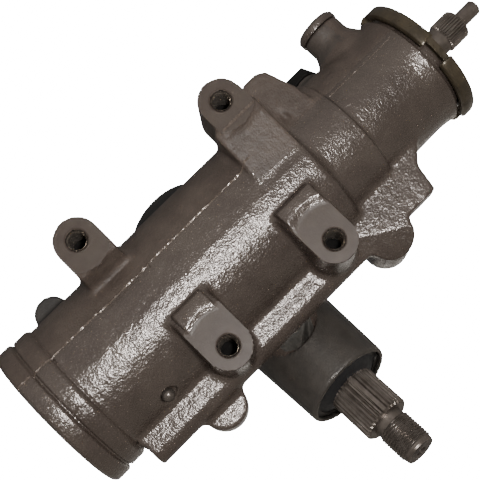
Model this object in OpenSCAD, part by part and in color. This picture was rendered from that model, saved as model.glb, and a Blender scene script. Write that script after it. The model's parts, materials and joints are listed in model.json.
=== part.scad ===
// Recirculating-ball power steering gear: cast housing, worm, rack piston and sector shaft.
// Worm axis along X towards the input shaft, Z up, sector shaft pointing down.
// Stations are worked out from the sector axis; placed() moves them to the frame-bolt origin.

/* [Frame mount] */
// Distance of the machined lug faces in front of the worm axis
mount_y = 51.2; // [50:0.1:54]
// Height of the upper frame bolts above the worm axis
upper_bolt_z = 51.5; // [50:0.5:56]
// Upper front frame bolt, ahead of the sector axis
upper_front_x = 54.4; // [51:0.1:57]
// Upper rear frame bolt, behind the sector axis
upper_rear_x = 52.3; // [48:0.1:57]
// Depth of the lower frame bolts below the worm axis
lower_bolt_z = 44.1; // [42:0.1:47]
// Lower front frame bolt, ahead of the sector axis
lower_front_x = 42.3; // [39:0.1:45]
// Lower rear frame bolt, behind the sector axis
lower_rear_x = 35.5; // [33:0.1:39]
// Radius of the tapped frame-bolt holes
frame_hole_r = 5.6; // [4.8:0.1:6.2]
// Depth of the frame-bolt holes
frame_hole_depth = 24; // [18:1:28]
// Radius of the rounded lug ends
lug_r = 13; // [12:0.1:14]
// Radius of the spot face of the two upper lugs
upper_spot_r = 18; // [16:0.5:20]
// Radius of the spot face of the two lower lugs
lower_spot_r = 24; // [21:0.5:25]
// Depth of the spot faces over the rest of the lug
spot_depth = 0.9; // [0.5:0.1:1.5]

/* [Cylinder] */
// Radius of the rack piston
piston_r = 38; // [37.5:0.1:38.5]
// Radial running clearance of the piston in its bore
piston_clearance = 0.08; // [0.05:0.01:0.1]
// Wall of the cast cylinder
cylinder_wall = 6.4; // [5.5:0.1:7]
// Distance of the end plug's inner face behind the sector axis
cylinder_rear = 109.1; // [108:0.1:113]
// Distance of the worm wall ahead of the sector axis
cylinder_front = 68.9; // [67:0.1:72]
// Depth of the end plug's recess
end_recess = 19.6; // [18:0.2:22]
// Radius of the end plug's recess
end_bore_r = 41; // [40.5:0.1:41.5]
// Wall of the rear rim outside its ring groove
rim_wall = 4.4; // [3.6:0.1:5.4]
// Width of the outer half of the rim
rim_w = 11.8; // [10:0.2:13]
// Thickness of the end plug
end_plug_t = 14; // [12:0.2:15]

/* [Valve neck] */
// Wall between the cylinder and the valve chamber
worm_wall = 8; // [6:0.5:10]
// Radius of the valve chamber
valve_bore_r = 29; // [28.5:0.1:29.5]
// Length of the valve body
valve_len = 50; // [46:1:54]
// Radius of the adjuster thread in the neck
adjuster_r = 31.5; // [31:0.1:32]
// Wall of the neck round the adjuster's thread
neck_wall = 3.1; // [2.8:0.1:3.8]
// Step from the neck's tip up to the neck
neck_step = 2.1; // [1.6:0.1:2.6]
// Step from the neck up to its base
neck_base_step = 2.4; // [1.6:0.1:3.2]
// Width of the locknut's rolled rim
locknut_rim = 5; // [4.4:0.1:5.6]
// Gap between the locknut's rim and the neck's tip
locknut_gap = 1.8; // [1.2:0.1:2.4]
// Turn of the locknut's notches
locknut_turn = 32.5; // [0:0.5:90]
// Length of adjuster thread inside the neck
adjuster_in_neck = 19.2; // [18:0.2:22]
// Length of the adjuster outside the neck
adjuster_out = 5.3; // [4.5:0.1:6.5]
// Thickness of the locknut's web
locknut_web = 3.8; // [3:0.1:4.4]
// Width of the locknut's rolled rim
locknut_rim_w = 9; // [8:0.2:10]
// Width of each spanner notch in the locknut
locknut_notch = 15; // [12:1:20]

/* [Sector gear] */
// Lean of the sector shaft towards the frame rail, in degrees
sector_tilt = 19; // [15:0.5:21]
// Distance of the sector axis behind the worm axis
sector_y = 49.5; // [49:0.1:50.5]
// Module of the sector and rack teeth
gear_module = 5; // [4.9:0.05:5.1]
// Teeth of the full gear that the sector is cut from
sector_full_teeth = 10; // [10:1:10]
// Teeth on the sector
sector_teeth = 3; // [3:2:3]
// Pressure angle of the teeth in degrees
pressure_angle = 25; // [23:0.5:26]
// Addendum as a multiple of the module
addendum = 0.8; // [0.7:0.05:0.85]
// Root clearance as a multiple of the module
root_clearance = 0.25; // [0.2:0.05:0.3]
// Gap left between tooth flanks
backlash = 0.2; // [0.15:0.05:0.3]
// Half the width of the sector teeth
sector_half_w = 19; // [16:0.5:20]

/* [Sector shaft] */
// Radius of the shaft's bearing journals
journal_r = 17.46; // [17.2:0.02:17.8]
// Radius of the arm serrations
serration_r = 14.55; // [14:0.05:15]
// Serrations cut round the arm end
serration_count = 32; // [28:4:36]
// Radius of the arm nut thread
arm_thread_r = 10.44; // [9.8:0.02:11]
// Depth of the boss mouth below the worm axis
boss_mouth = 90.5; // [88:0.1:94]
// Length of serrations below the boss mouth
serration_len = 29.4; // [26:0.1:32]
// Length of the arm nut thread with its undercut
arm_thread_len = 25.1; // [20:0.1:30]
// Outer radius of the sector shaft boss
boss_r = 27.2; // [26.8:0.1:28.4]
// Radius of the boss where it leaves the gear chamber
boss_base_r = 29.6; // [28.8:0.1:31]
// Turn of the wide lands of the arm serrations
land_turn = 12; // [0:1:45]
// Radius of the seal bore in the boss mouth
seal_bore_r = 24.6; // [24:0.1:25]
// Radius of the needle bearing bore
bearing_bore_r = 21.05; // [20.8:0.05:21.4]

/* [Side cover] */
// Height of the cover's face over the cylinder
cover_lift = 1.52; // [1.2:0.02:3]
// Thickness of the cover gasket
gasket_t = 0.8; // [0.5:0.1:1.2]
// Thickness of the cover flange
cover_t = 4.8; // [4:0.1:6]
// Height of the cover's round hub above its flange
cover_hub_h = 21.4; // [18:0.2:24]
// Radius of the cover's round hub
cover_hub_r = 28; // [26:0.5:29]
// Half the bolt spacing along the worm axis
cover_bolt_x = 33; // [32:0.5:36]
// Half the bolt spacing across the worm axis
cover_bolt_y = 30; // [29:0.5:33]
// Radius of the cover bolts
cover_bolt_r = 4.75; // [4:0.05:5]

/* [Ball screw] */
// Lead of the worm groove
worm_lead = 11; // [10:0.25:12]
// Outer radius of the worm
worm_r = 14.5; // [14:0.1:15]
// Radius of the circle that the balls run on
ball_circle_r = 12.5; // [12.2:0.1:12.7]
// Radius of the balls
ball_r = 3.57; // [3.2:0.01:3.6]
// Radius of the worm groove
groove_r = 4.1; // [4.05:0.05:4.3]
// Turns of the worm groove
worm_turns = 8; // [8:1:8]
// Turns of balls carried in the nut
ball_turns = 3; // [2:1:3]

/* [Input shaft] */
// Radius of the input shaft journal
stub_journal_r = 9.6; // [9.4:0.05:10]
// Radius of the bare neck outside the seal
stub_neck_r = 8.5; // [8:0.1:9.2]
// Radius of the coupling serrations
stub_serration_r = 9.52; // [9:0.02:9.8]
// Serrations cut round the input shaft
stub_serration_count = 36; // [30:2:40]
// Length of the coupling serrations
stub_serration_len = 14.3; // [12:0.1:18]
// Radius of the pilot tip
stub_tip_r = 4.84; // [4:0.02:5.6]
// Length of the pilot tip
stub_tip_len = 15; // [10:0.5:18]
// Start of the serrations beyond the neck's open end
stub_reach = 20.3; // [18:0.1:24]
// Radius of the torsion bar between its ends
torsion_bar_r = 3.6; // [3:0.1:4]

/* [Ports] */
// Distance of the pressure port ahead of the sector axis
pressure_port_x = 134.9; // [131:0.1:137]
// Distance of the return port ahead of the sector axis
return_port_x = 111.9; // [109:0.1:115]
// Backward tilt of the return port in degrees
return_port_tilt = 35; // [28:1:40]
// Height of the pressure port boss above the worm axis
pressure_port_z = 53.4; // [51:0.1:55]
// Height of the return port boss from the worm axis
return_port_z = 47; // [46:0.5:50]
// Radius of the port thread
port_r = 7.9; // [7:0.1:8.4]
// Width across the flats of the port plugs
port_plug_flats = 22; // [20:0.5:24]
// Height of the port plug heads
port_plug_h = 9; // [7:0.5:10]
// Radius of the pressure port's boss and of its cap
pressure_boss_r = 12.9; // [12:0.1:13.4]
// Height of the pressure port's cap
pressure_cap_h = 5.2; // [4:0.1:6.5]

/* [Cast details] */
// Radius of the oil passage rib under the cylinder
rib_r = 9; // [8:0.2:10]
// Distance of the rib's centre below the worm axis
rib_z = 51; // [49:0.5:52]
// Distance of the rib's centre in front of the worm axis
rib_y = 7; // [5:0.5:9]
// Radius of the two foot lobes under the cylinder
lobe_r = 13.5; // [12:0.5:15]
// Depth of the lobe centres below the worm axis
lobe_z = 60; // [58:0.5:62]
// Rear lobe, behind the sector axis
lobe_rear_x = 58.1; // [55:0.1:61]
// Front lobe, ahead of the sector axis
lobe_front_x = 72.9; // [69:0.1:77]
// Front face of the rib's web and of the front lobe
web_y = 16; // [14:0.5:17]
// Height of the mould's parting line over the worm axis
parting_z = 17.6; // [15:0.2:20]
// Height of the ridge on the parting line
parting_ridge = 1.3; // [0.8:0.1:2]
// Place of the round boss behind the rear lug
rear_boss_x = 90; // [88:0.5:93]
// Radius of that boss
rear_boss_r = 10.6; // [9:0.1:12]
// Place of the drilled passage's plug
ball_plug_x = 75.1; // [72:0.1:78]

/* [Hidden] */
$fn = 64;

// Gap between pieces that are pressed or screwed together
fit_gap = 0.05;
// Gap between a running shaft and what it turns in
run_gap = 0.06;
// Gap between pieces that move past each other without touching
free_gap = 0.3;
// Overrun of a cutting shape past the face that it opens
cut = 1;

// Colours as seen on the object
cast_paint = "#5a514b";
cover_paint = "#26241f";
bare_steel = "#8b8680";
dark_steel = "#4c443c";
spring_steel = "#3a3835";
seal_rubber = "#1c1c1d";
seal_plastic = "#d8d2c4";
bearing_bronze = "#9a7a4a";
gasket_fibre = "#5c5a4c";

// Stations along the worm axis
bore_r = piston_r + piston_clearance;
body_r = bore_r + cylinder_wall;
ring_groove = 2.2;
rim_r = end_bore_r + ring_groove + rim_wall;
rim_inner_r = rim_r - 0.9;
rear_x = -cylinder_rear - end_recess;
rim_mid_x = rear_x + rim_w;
rim_end_x = rim_mid_x + rim_w;
neck_tip_r = adjuster_r + neck_wall;
neck_r = neck_tip_r + neck_step;
neck_base_r = neck_r + neck_base_step;
locknut_r = neck_tip_r + locknut_gap + locknut_rim;
race_t = 1;
roller_d = 2.5;
thrust_stack = 2 * race_t + roller_d;
worm_seat_x = cylinder_front + worm_wall;
flange_x = worm_seat_x + thrust_stack;
flange_t = 5.5;
valve_x = flange_x + flange_t;
valve_end_x = valve_x + valve_len;
adjuster_x = valve_end_x + thrust_stack;
neck_end_x = adjuster_x + adjuster_in_neck;
adjuster_end_x = neck_end_x + adjuster_out;
neck_base_end_x = valve_x + 12;
neck_tip_x = neck_end_x - 11;

// Sector and rack proportions
cover_z = body_r + cover_lift;
sector_pitch_r = gear_module * sector_full_teeth / 2;
sector_tip_r = sector_pitch_r + addendum * gear_module;
sector_root_r = sector_pitch_r - (addendum + root_clearance) * gear_module;
sector_base_r = sector_pitch_r * cos(pressure_angle);
rack_pitch = PI * gear_module;
rack_pitch_y = sector_y - sector_pitch_r;
rack_root_y = rack_pitch_y - (addendum + root_clearance) * gear_module;
sector_swing = 42;
travel = sector_pitch_r * sector_swing * PI / 180;
chamber_r = sector_tip_r + 4;
chamber_floor_z = -sector_half_w - 2;

// Rack piston
gusset_x0 = upper_front_x - lug_r - 3.4;
piston_rear_x = -cylinder_rear + travel + 1.7;
piston_front_x = cylinder_front - travel - 3.6;
rack_half_len = sector_tip_r + travel - 1.3;
rack_half_w = sector_half_w + 1;
ring_w = 6;
ring_x0 = -sector_tip_r - travel - ring_w - 18;
ring_depth = 3.5;
ring_split = 1.4;
ring_seat_r = piston_r - ring_depth;
plug_r = 19;
plug_len = 11;
nut_relief_r = 17;

// Worm and balls
worm_x0 = -worm_turns * worm_lead / 2 - 2;
worm_x1 = worm_x0 + worm_turns * worm_lead;
worm_journal_r = worm_r + 0.4;
ball_x0 = worm_x0 + worm_lead * (0.75 + 2);
ball_x1 = ball_x0 + ball_turns * worm_lead;
ball_turn_len = sqrt(pow(2 * PI * ball_circle_r, 2) + pow(worm_lead, 2));
ball_pitch = 2 * ball_r + 0.1;
ball_count = floor(ball_turns * ball_turn_len / ball_pitch);
nut_bore_r = ball_circle_r + ball_r + 0.1;
guide_r = ball_r + 1.6;
guide_bore_r = ball_r + 0.35;
guide_y = -(nut_bore_r + guide_r + 4.4);
guide_x0 = ball_x0;
guide_x1 = ball_x1;
guide_screw_z = guide_r + 4.2;
guide_foot_half = guide_screw_z + 3;

// Valve and input shaft
worm_head_r = 14;
worm_head_len = 12;
tongue_t = 5;
tongue_w = 20;
tongue_slot = 7.6;
tongue_len = 8;
bar_end_r = 5;
bar_end_len = 14;
valve_r = valve_bore_r - 0.6;
valve_bore_in_r = 19;
valve_pin_x = 2.4;
valve_pin_r = 1.6;
spool_r = valve_bore_in_r - run_gap;
spool_bore_r = 14.3;
spool_x0 = valve_x + worm_head_len + 2;
spool_x1 = valve_end_x - 2;
stub_flange_r = spool_bore_r - fit_gap;
stub_x0 = valve_x + worm_head_len - tongue_len + free_gap;
serration_x0 = neck_end_x + stub_reach;
serration_x1 = serration_x0 + stub_serration_len;
stub_end_x = serration_x1 + stub_tip_len;
bar_end_x = serration_x1 - 4;
bearing_w = 8;
needle_r = 1.2;
seal_bore_stub_r = 13.5;
stub_bearing_x = adjuster_x + 1.7;
stub_seal_x = stub_bearing_x + bearing_w + 0.8;
stub_seal_w = 5.5;
dust_seal_x = stub_seal_x + stub_seal_w + 0.5;
dust_seal_w = 2.5;
stub_ring_x = dust_seal_x + dust_seal_w + 0.2;
stub_ring_t = 1.2;

// Sector shaft stations, measured up from the worm axis
serration_z0 = -boss_mouth - serration_len;
arm_tip_z = serration_z0 - arm_thread_len;
shaft_top_z = cover_z - 2;
seal_shelf_z = -boss_mouth + 14.8;
inner_seal_t = 4.3;
outer_seal_t = 4.2;
washer_t = 1.1;
inner_seal_z = seal_shelf_z - inner_seal_t;
washer_in_z = inner_seal_z - washer_t;
outer_seal_z = washer_in_z - outer_seal_t;
washer_out_z = outer_seal_z - washer_t;
sector_ring_t = 1.7;
ring_seat = 0.9;
journal_end_z = -boss_mouth + 3;
sector_ring_z = washer_out_z - sector_ring_t;
sector_bearing_z0 = seal_shelf_z + 2;
sector_bearing_len = 36;
bearing_shelf_z = sector_bearing_z0 + sector_bearing_len + 2;

// Side cover stations
cover_face_z = cover_z + gasket_t;
cover_top_z = cover_face_z + cover_t;
cover_hub_z = cover_top_z + cover_hub_h;
spigot_r = 24;
spigot_z = sector_half_w + 2;
bushing_r = 19.95;
screw_r = 5.2;
screw_head_r = 9;
screw_head_z = shaft_top_z - 6.5;
screw_head_t = 3.5;
nut_flats = 19;
nut_h = 6;
nut_seat_z = cover_hub_z - nut_h;
bolt_tip_z = cover_z - 9;
bolt_head_flats = 14.3;
bolt_head_h = 6;

// Round bar, or ring, along the worm axis
module rod_x(x0, x1, r) {
    translate([x0, 0, 0])
        rotate([0, 90, 0])
            cylinder(r = r, h = x1 - x0);
}

module ring_x(x0, x1, r_in, r_out) {
    difference() {
        rod_x(x0, x1, r_out);
        rod_x(x0 - cut, x1 + cut, r_in);
    }
}

// Outline of radius against station, turned round the worm axis
module turned_x(points) {
    rotate([0, 90, 0])
        rotate_extrude()
            polygon(points);
}

// Round cord ring lying round the worm axis
module cord_ring_x(x, ring_r, cord_r) {
    translate([x, 0, 0])
        rotate([0, 90, 0])
            rotate_extrude()
                translate([ring_r, 0])
                    circle(r = cord_r);
}

// Round bar, or ring, along the sector axis
module rod_z(z0, z1, r) {
    translate([0, sector_y, z0])
        cylinder(r = r, h = z1 - z0);
}

module ring_z(z0, z1, r_in, r_out) {
    difference() {
        rod_z(z0, z1, r_out);
        rod_z(z0 - cut, z1 + cut, r_in);
    }
}

// Round bar from front to back
module rod_y(x, z, y0, y1, r) {
    translate([x, y0, z])
        rotate([-90, 0, 0])
            cylinder(r = r, h = y1 - y0);
}

// Hexagon bar, measured across its flats
module hex_bar(flats, h) {
    cylinder(r = flats / sqrt(3), h = h, $fn = 6);
}

// Moves stations to the frame: the origin is midway between the upper frame bolts
module placed() {
    translate([(upper_rear_x - upper_front_x) / 2, mount_y, -upper_bolt_z])
        rotate([-sector_tilt, 0, 0])
            children();
}

// Turns what follows the frame rail back from the gear's lean
module upright() {
    rotate([sector_tilt, 0, 0])
        children();
}

// Frames of the two hose ports and of the drilled passage's plug
module at_pressure_port() {
    upright()
        translate([pressure_port_x, 0, 0])
            children();
}

module at_return_port() {
    upright()
        translate([return_port_x, 0, 0])
            rotate([-return_port_tilt, 0, 0])
                children();
}

module at_ball_plug() {
    ball_plug_turn = 147.5;
    upright()
        translate([-ball_plug_x, 0, 0])
            rotate([ball_plug_turn, 0, 0])
                children();
}

// Corners of the side cover's bolt pattern
module at_cover_bolts() {
    for (sx = [-1, 1], sy = [-1, 1])
        translate([sx * cover_bolt_x, sector_y + sy * cover_bolt_y, 0])
            children();
}

// Outline of the side cover's flange
module cover_outline(corner_r) {
    translate([-cover_bolt_x - corner_r, sector_y - cover_bolt_y])
        square([2 * (cover_bolt_x + corner_r), 2 * cover_bolt_y]);
    translate([-cover_bolt_x, sector_y - cover_bolt_y - corner_r])
        square([2 * cover_bolt_x, 2 * (cover_bolt_y + corner_r)]);
    at_cover_bolts()
        circle(r = corner_r);
}

// Frame lug: a rounded bar with a spot face round its hole and a ramp down to the body
// side is -1 where the body lies below the hole; foot and foot_y are where the ramp meets the body
module lug(x, z, side, spot_r, foot, foot_y, back_y) {
    translate([x, 0, z])
        mirror([0, 0, side > 0 ? 1 : 0])
            intersection() {
                translate([0, -back_y, 0])
                    rotate([90, 0, 0])
                        linear_extrude(mount_y - back_y) {
                            circle(r = lug_r);
                            translate([-lug_r, -foot])
                                square([2 * lug_r, foot]);
                        }
                union() {
                    rod_y(0, 0, -mount_y, -back_y, spot_r);
                    translate([-lug_r - cut, 0, 0])
                        rotate([90, 0, 90])
                            linear_extrude(2 * (lug_r + cut))
                                polygon([
                                    [-mount_y + spot_depth, lug_r + cut],
                                    [-mount_y + spot_depth, 1 - spot_r],
                                    [-foot_y, -foot],
                                    [-back_y, -foot],
                                    [-back_y, lug_r + cut],
                                ]);
                }
            }
}

// Outside of the casting, turned part
module casting_turned() {
    groove = 1.4;
    turned_x([
        [0, rear_x],
        [rim_r - 2, rear_x],
        [rim_r, rear_x + 2],
        [rim_r, rim_mid_x - groove],
        [rim_inner_r - groove, rim_mid_x],
        [rim_inner_r, rim_mid_x + groove],
        [rim_inner_r, rim_end_x - 2],
        [body_r, rim_end_x + 1],
        [body_r, cylinder_front - 1.5],
        [body_r - 1.5, cylinder_front],
        [neck_base_r + 0.6, cylinder_front + 0.6],
        [neck_base_r, neck_base_end_x],
        [neck_r + 0.3, neck_base_end_x + 1],
        [neck_r - 0.5, neck_tip_x],
        [neck_tip_r, neck_tip_x + 3],
        [neck_tip_r, neck_end_x],
        [0, neck_end_x],
    ]);
}

// Oil passage rib, its web to the neck, and the two foot lobes
module casting_underside() {
    rib_x0 = rim_end_x + 2;
    rib_x1 = lobe_front_x + lobe_r;
    rib_foot = rib_z + rib_r;
    web_x1 = rib_x1 + 22.6;
    translate([0, -rib_y, -rib_z])
        rod_x(rib_x0, rib_x1, rib_r);
    translate([rib_x0, -rib_y - rib_r, -rib_z])
        cube([rib_x1 - rib_x0, 2 * rib_r, rib_z - body_r + 6]);
    rotate([90, 0, 0])
        linear_extrude(web_y)
            polygon([
                [lobe_front_x - lobe_r, -rib_foot],
                [web_x1, -rib_foot],
                [web_x1 + 3.2, -neck_base_r - 4.8],
                [web_x1 + 15, 4.4 - neck_r],
                [web_x1 + 15, -valve_bore_r - 3],
                [lobe_front_x - lobe_r, -valve_bore_r - 3],
            ]);
    lobe(-lobe_rear_x, 6);
    lobe(lobe_front_x, web_y);
}

// Foot lobe below the rib, from its front face back towards the sector boss
module lobe(x, front_y) {
    lobe_back = 22;
    rod_y(x, -lobe_z, -front_y, lobe_back, lobe_r);
    translate([x - lobe_r, -front_y, -lobe_z])
        cube([2 * lobe_r, front_y + lobe_back, lobe_z - body_r + 12]);
}

// Gusset under the upper front lug, shoulder beside it on the neck's base, and the boss at the rear
module casting_front_pads() {
    gusset_top = upper_bolt_z - lug_r + 2;
    gusset_foot = 5;
    gusset_back = 20;
    shoulder_y = 35.4;
    shoulder_back = 12;
    rear_boss_z = body_r + 1.2;
    translate([gusset_x0, 0, 0])
        rotate([90, 0, 90])
            linear_extrude(cylinder_front - gusset_x0)
                polygon([
                    [1.3 - mount_y, gusset_top],
                    [0.2 - body_r, gusset_foot],
                    [-gusset_back, gusset_foot],
                    [-gusset_back, gusset_top],
                ]);
    translate([cylinder_front, shoulder_back, 0])
        rotate([90, 0, 0])
            linear_extrude(shoulder_y + shoulder_back)
                polygon([
                    [-1, 0],
                    [-1, upper_bolt_z - 3],
                    [3.6, upper_bolt_z + 2.2],
                    [13, upper_bolt_z + 2],
                    [18, upper_bolt_z - 1],
                    [20.4, upper_bolt_z - 9],
                    [23.6, upper_bolt_z - 19.2],
                    [24.6, parting_z - 3],
                    [12.4, parting_z + 1],
                    [3.9, upper_bolt_z - 15.2],
                    [3.9, 0],
                ]);
    rod_y(-rear_boss_x, rear_boss_z, 4, 26, rear_boss_r);
    translate([-rear_boss_x - rear_boss_r, 4, rear_boss_z - 16])
        cube([2 * rear_boss_r, 22, 16]);
}

// Ridge where the mould halves met, along the front of the cylinder
module casting_parting_ridge() {
    foot_r = body_r - fit_gap;
    ridge_r = body_r + parting_ridge;
    turn = asin(parting_z / ridge_r);
    spread = acos(foot_r / ridge_r);
    translate([rim_mid_x + 3, 0, 0])
        rotate([90, 0, 90])
            linear_extrude(gusset_x0 - rim_mid_x)
                polygon([
                    [0, 0],
                    foot_r * [-cos(turn - spread), sin(turn - spread)],
                    ridge_r * [-cos(turn), sin(turn)],
                    foot_r * [-cos(turn + spread), sin(turn + spread)],
                ]);
}

// Sector shaft boss, sector chamber and the flange under the side cover
module casting_sector_side() {
    translate([0, sector_y, -boss_mouth])
        cylinder(r1 = boss_r, r2 = boss_base_r, h = boss_mouth + chamber_floor_z);
    rod_z(chamber_floor_z - 7, cover_z, chamber_r + 6);
    translate([0, 0, cover_z - 12])
        linear_extrude(12)
            cover_outline(11);
}

module casting_ports() {
    at_pressure_port()
        translate([0, 0, valve_bore_r + 1.5])
            cylinder(r = pressure_boss_r, h = pressure_port_z - valve_bore_r - 1.5);
    at_pressure_port()
        translate([0, 0, valve_bore_r + 1.5])
            cylinder(r1 = pressure_boss_r + 8, r2 = pressure_boss_r - 0.5, h = neck_r - valve_bore_r + 6);
    at_return_port()
        translate([0, 0, valve_bore_r + 1.5])
            cylinder(r1 = 14, r2 = 12, h = return_port_z - valve_bore_r - 1.5);
}

// Threaded port with its seat pocket and drilled passage, along local Z
module port_cut(face_z) {
    translate([0, 0, face_z - 14])
        cylinder(r = port_r, h = 14 + cut);
    translate([0, 0, valve_bore_r - 3])
        cylinder(r = 3, h = face_z - valve_bore_r);
}

module housing_cuts() {
    rod_x(rear_x - cut, -cylinder_rear, end_bore_r);
    rod_x(-cylinder_rear - end_plug_t - 2.4, -cylinder_rear - end_plug_t, end_bore_r + ring_groove);
    rod_x(-cylinder_rear - cut, cylinder_front, bore_r);
    rod_x(cylinder_front - cut, worm_seat_x + cut, worm_journal_r + 1.6);
    rod_x(worm_seat_x, neck_end_x, valve_bore_r);
    rod_x(adjuster_x - 2, neck_end_x + cut, adjuster_r);
    rod_z(chamber_floor_z, cover_z + cut, chamber_r);
    rod_z(-boss_mouth - cut, seal_shelf_z, seal_bore_r);
    rod_z(sector_ring_z - fit_gap, washer_out_z + fit_gap, seal_bore_r + ring_seat + fit_gap);
    rod_z(-boss_mouth - cut, bearing_shelf_z, bearing_bore_r);
    rod_z(-boss_mouth - cut, chamber_floor_z + cut, journal_r + 0.8);
    translate([0, 0, bolt_tip_z - 1])
        at_cover_bolts()
            cylinder(r = cover_bolt_r + fit_gap, h = cover_z - bolt_tip_z + 2);
    upright() {
        for (x = [upper_front_x, -upper_rear_x])
            rod_y(x, upper_bolt_z, -mount_y - cut, frame_hole_depth - mount_y, frame_hole_r);
        for (x = [lower_front_x, -lower_rear_x])
            rod_y(x, -lower_bolt_z, -mount_y - cut, frame_hole_depth - mount_y, frame_hole_r);
    }
    at_pressure_port()
        port_cut(pressure_port_z);
    at_return_port()
        port_cut(return_port_z);
    at_ball_plug()
        translate([0, 0, bore_r + 1.4])
            cylinder(r = 4, h = 12);
}

module housing() {
    color(cast_paint)
        placed()
            difference() {
                union() {
                    casting_turned();
                    casting_sector_side();
                    casting_ports();
                    upright() {
                        casting_underside();
                        casting_front_pads();
                        casting_parting_ridge();
                        for (x = [upper_front_x, -upper_rear_x])
                            lug(x, upper_bolt_z, -1, upper_spot_r, upper_spot_r + 5, body_r - 13.5, 16);
                        for (x = [lower_front_x, -lower_rear_x])
                            lug(x, -lower_bolt_z, 1, lower_spot_r, lower_spot_r + 9, body_r - 1.1, 6);
                    }
                }
                housing_cuts();
            }
}

module passage_ball_plug() {
    color(bare_steel)
        placed()
            at_ball_plug()
                translate([0, 0, bore_r + 1.45 + 3.9])
                    sphere(r = 3.9);
}

// End closure of the cylinder
module end_plug() {
    x0 = -cylinder_rear - end_plug_t;
    color(dark_steel)
        placed()
            difference() {
                rod_x(x0, -cylinder_rear, end_bore_r - fit_gap);
                rod_x(x0 - cut, x0 + 5, end_bore_r - 8);
                rod_x(-cylinder_rear - 4, -cylinder_rear + cut, end_bore_r - 10);
                ring_x(x0 + 6.4, x0 + 9.6, end_bore_r - 2.9, end_bore_r + cut);
            }
}

module end_plug_o_ring() {
    color(seal_rubber)
        placed()
            cord_ring_x(-cylinder_rear - end_plug_t + 8, end_bore_r - 1.46, 1.36);
}

module end_plug_retaining_ring() {
    x0 = -cylinder_rear - end_plug_t - 2.35;
    color(spring_steel)
        placed()
            difference() {
                ring_x(x0, x0 + 2.3, end_bore_r - 2.4, end_bore_r + 2.1);
                translate([x0 - cut, 0, 0])
                    rotate([35, 0, 0])
                        translate([0, -6, 0])
                            cube([5, 12, end_bore_r + 4]);
            }
}

// Straight-sided rack tooth, drawn round its pitch line
module rack_tooth() {
    half = rack_pitch / 4 - backlash / 2;
    rise = addendum * gear_module;
    fall = (addendum + root_clearance) * gear_module + cut;
    slope = tan(pressure_angle);
    polygon([
        [-half - fall * slope, -fall],
        [half + fall * slope, -fall],
        [half - rise * slope, rise],
        [-half + rise * slope, rise],
    ]);
}

module rack_piston() {
    rack_teeth = sector_teeth + 1;
    color(bare_steel)
        placed()
            difference() {
                union() {
                    difference() {
                        rod_x(piston_rear_x, piston_front_x, piston_r);
                        translate([-rack_half_len, rack_root_y, -piston_r - cut])
                            cube([2 * rack_half_len + piston_front_x, piston_r, 2 * (piston_r + cut)]);
                    }
                    intersection() {
                        translate([0, rack_pitch_y, -rack_half_w])
                            linear_extrude(2 * rack_half_w)
                                for (i = [0 : rack_teeth - 1])
                                    translate([(i - (rack_teeth - 1) / 2) * rack_pitch, 0])
                                        rack_tooth();
                        rod_x(piston_rear_x, piston_front_x, piston_r);
                    }
                }
                rod_x(piston_rear_x - cut, piston_rear_x + plug_len, plug_r);
                rod_x(piston_rear_x, ball_x0 - 5, nut_relief_r);
                rod_x(ball_x0 - 6, ball_x1 + 5, nut_bore_r);
                rod_x(ball_x1 + 4, piston_front_x + cut, worm_journal_r + free_gap);
                ring_x(ring_x0, ring_x0 + ring_w, piston_r - ring_depth, piston_r + cut);
                guide_pocket();
            }
}

// Milled pocket that the ball return guide and its clamp sit in
module guide_pocket() {
    half_w = guide_foot_half + 0.4;
    translate([guide_x0 - guide_r - 1, -piston_r - cut, -half_w])
        cube([guide_x1 - guide_x0 + 2 * guide_r + 2, piston_r + cut + guide_y + guide_r, 2 * half_w]);
    for (x = [guide_x0, guide_x1])
        rod_y(x, 0, guide_y, -ball_circle_r + 2, guide_r + fit_gap);
    for (sz = [-1, 1])
        translate([(guide_x0 + guide_x1) / 2, guide_y + guide_r, 0])
            rod_y(0, sz * guide_screw_z, -8, 5, 1.6);
}

module piston_ring() {
    color(seal_plastic)
        placed()
            translate([ring_x0, 0, 0])
                ring_x(0.1, ring_w - 0.1, ring_seat_r + ring_split + fit_gap, piston_r + 0.02);
}

module piston_ring_o_ring() {
    color(seal_rubber)
        placed()
            translate([ring_x0, 0, 0])
                ring_x(0.6, ring_w - 0.6, ring_seat_r + fit_gap, ring_seat_r + ring_split);
}

module rack_piston_plug() {
    drive = 12.7;
    color(dark_steel)
        placed()
            difference() {
                rod_x(piston_rear_x, piston_rear_x + plug_len - fit_gap, plug_r - fit_gap);
                translate([piston_rear_x - cut, -drive / 2, -drive / 2])
                    cube([8, drive, drive]);
            }
}

// Path of the return guide: two legs down to the groove, joined by a bar
module guide_path(r, leg_end_y) {
    for (x = [guide_x0, guide_x1]) {
        rod_y(x, 0, guide_y, leg_end_y, r);
        translate([x, guide_y, 0])
            sphere(r = r);
    }
    translate([0, guide_y, 0])
        rod_x(guide_x0, guide_x1, r);
}

module ball_return_guide() {
    split = 0.1;
    size = 4 * piston_r;
    color(bare_steel)
        placed()
            difference() {
                guide_path(guide_r, -nut_bore_r - 0.2);
                guide_path(guide_bore_r, -nut_bore_r + cut);
                translate([-size / 2, -size, -split / 2])
                    cube([size, 2 * size, split]);
            }
}

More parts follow.
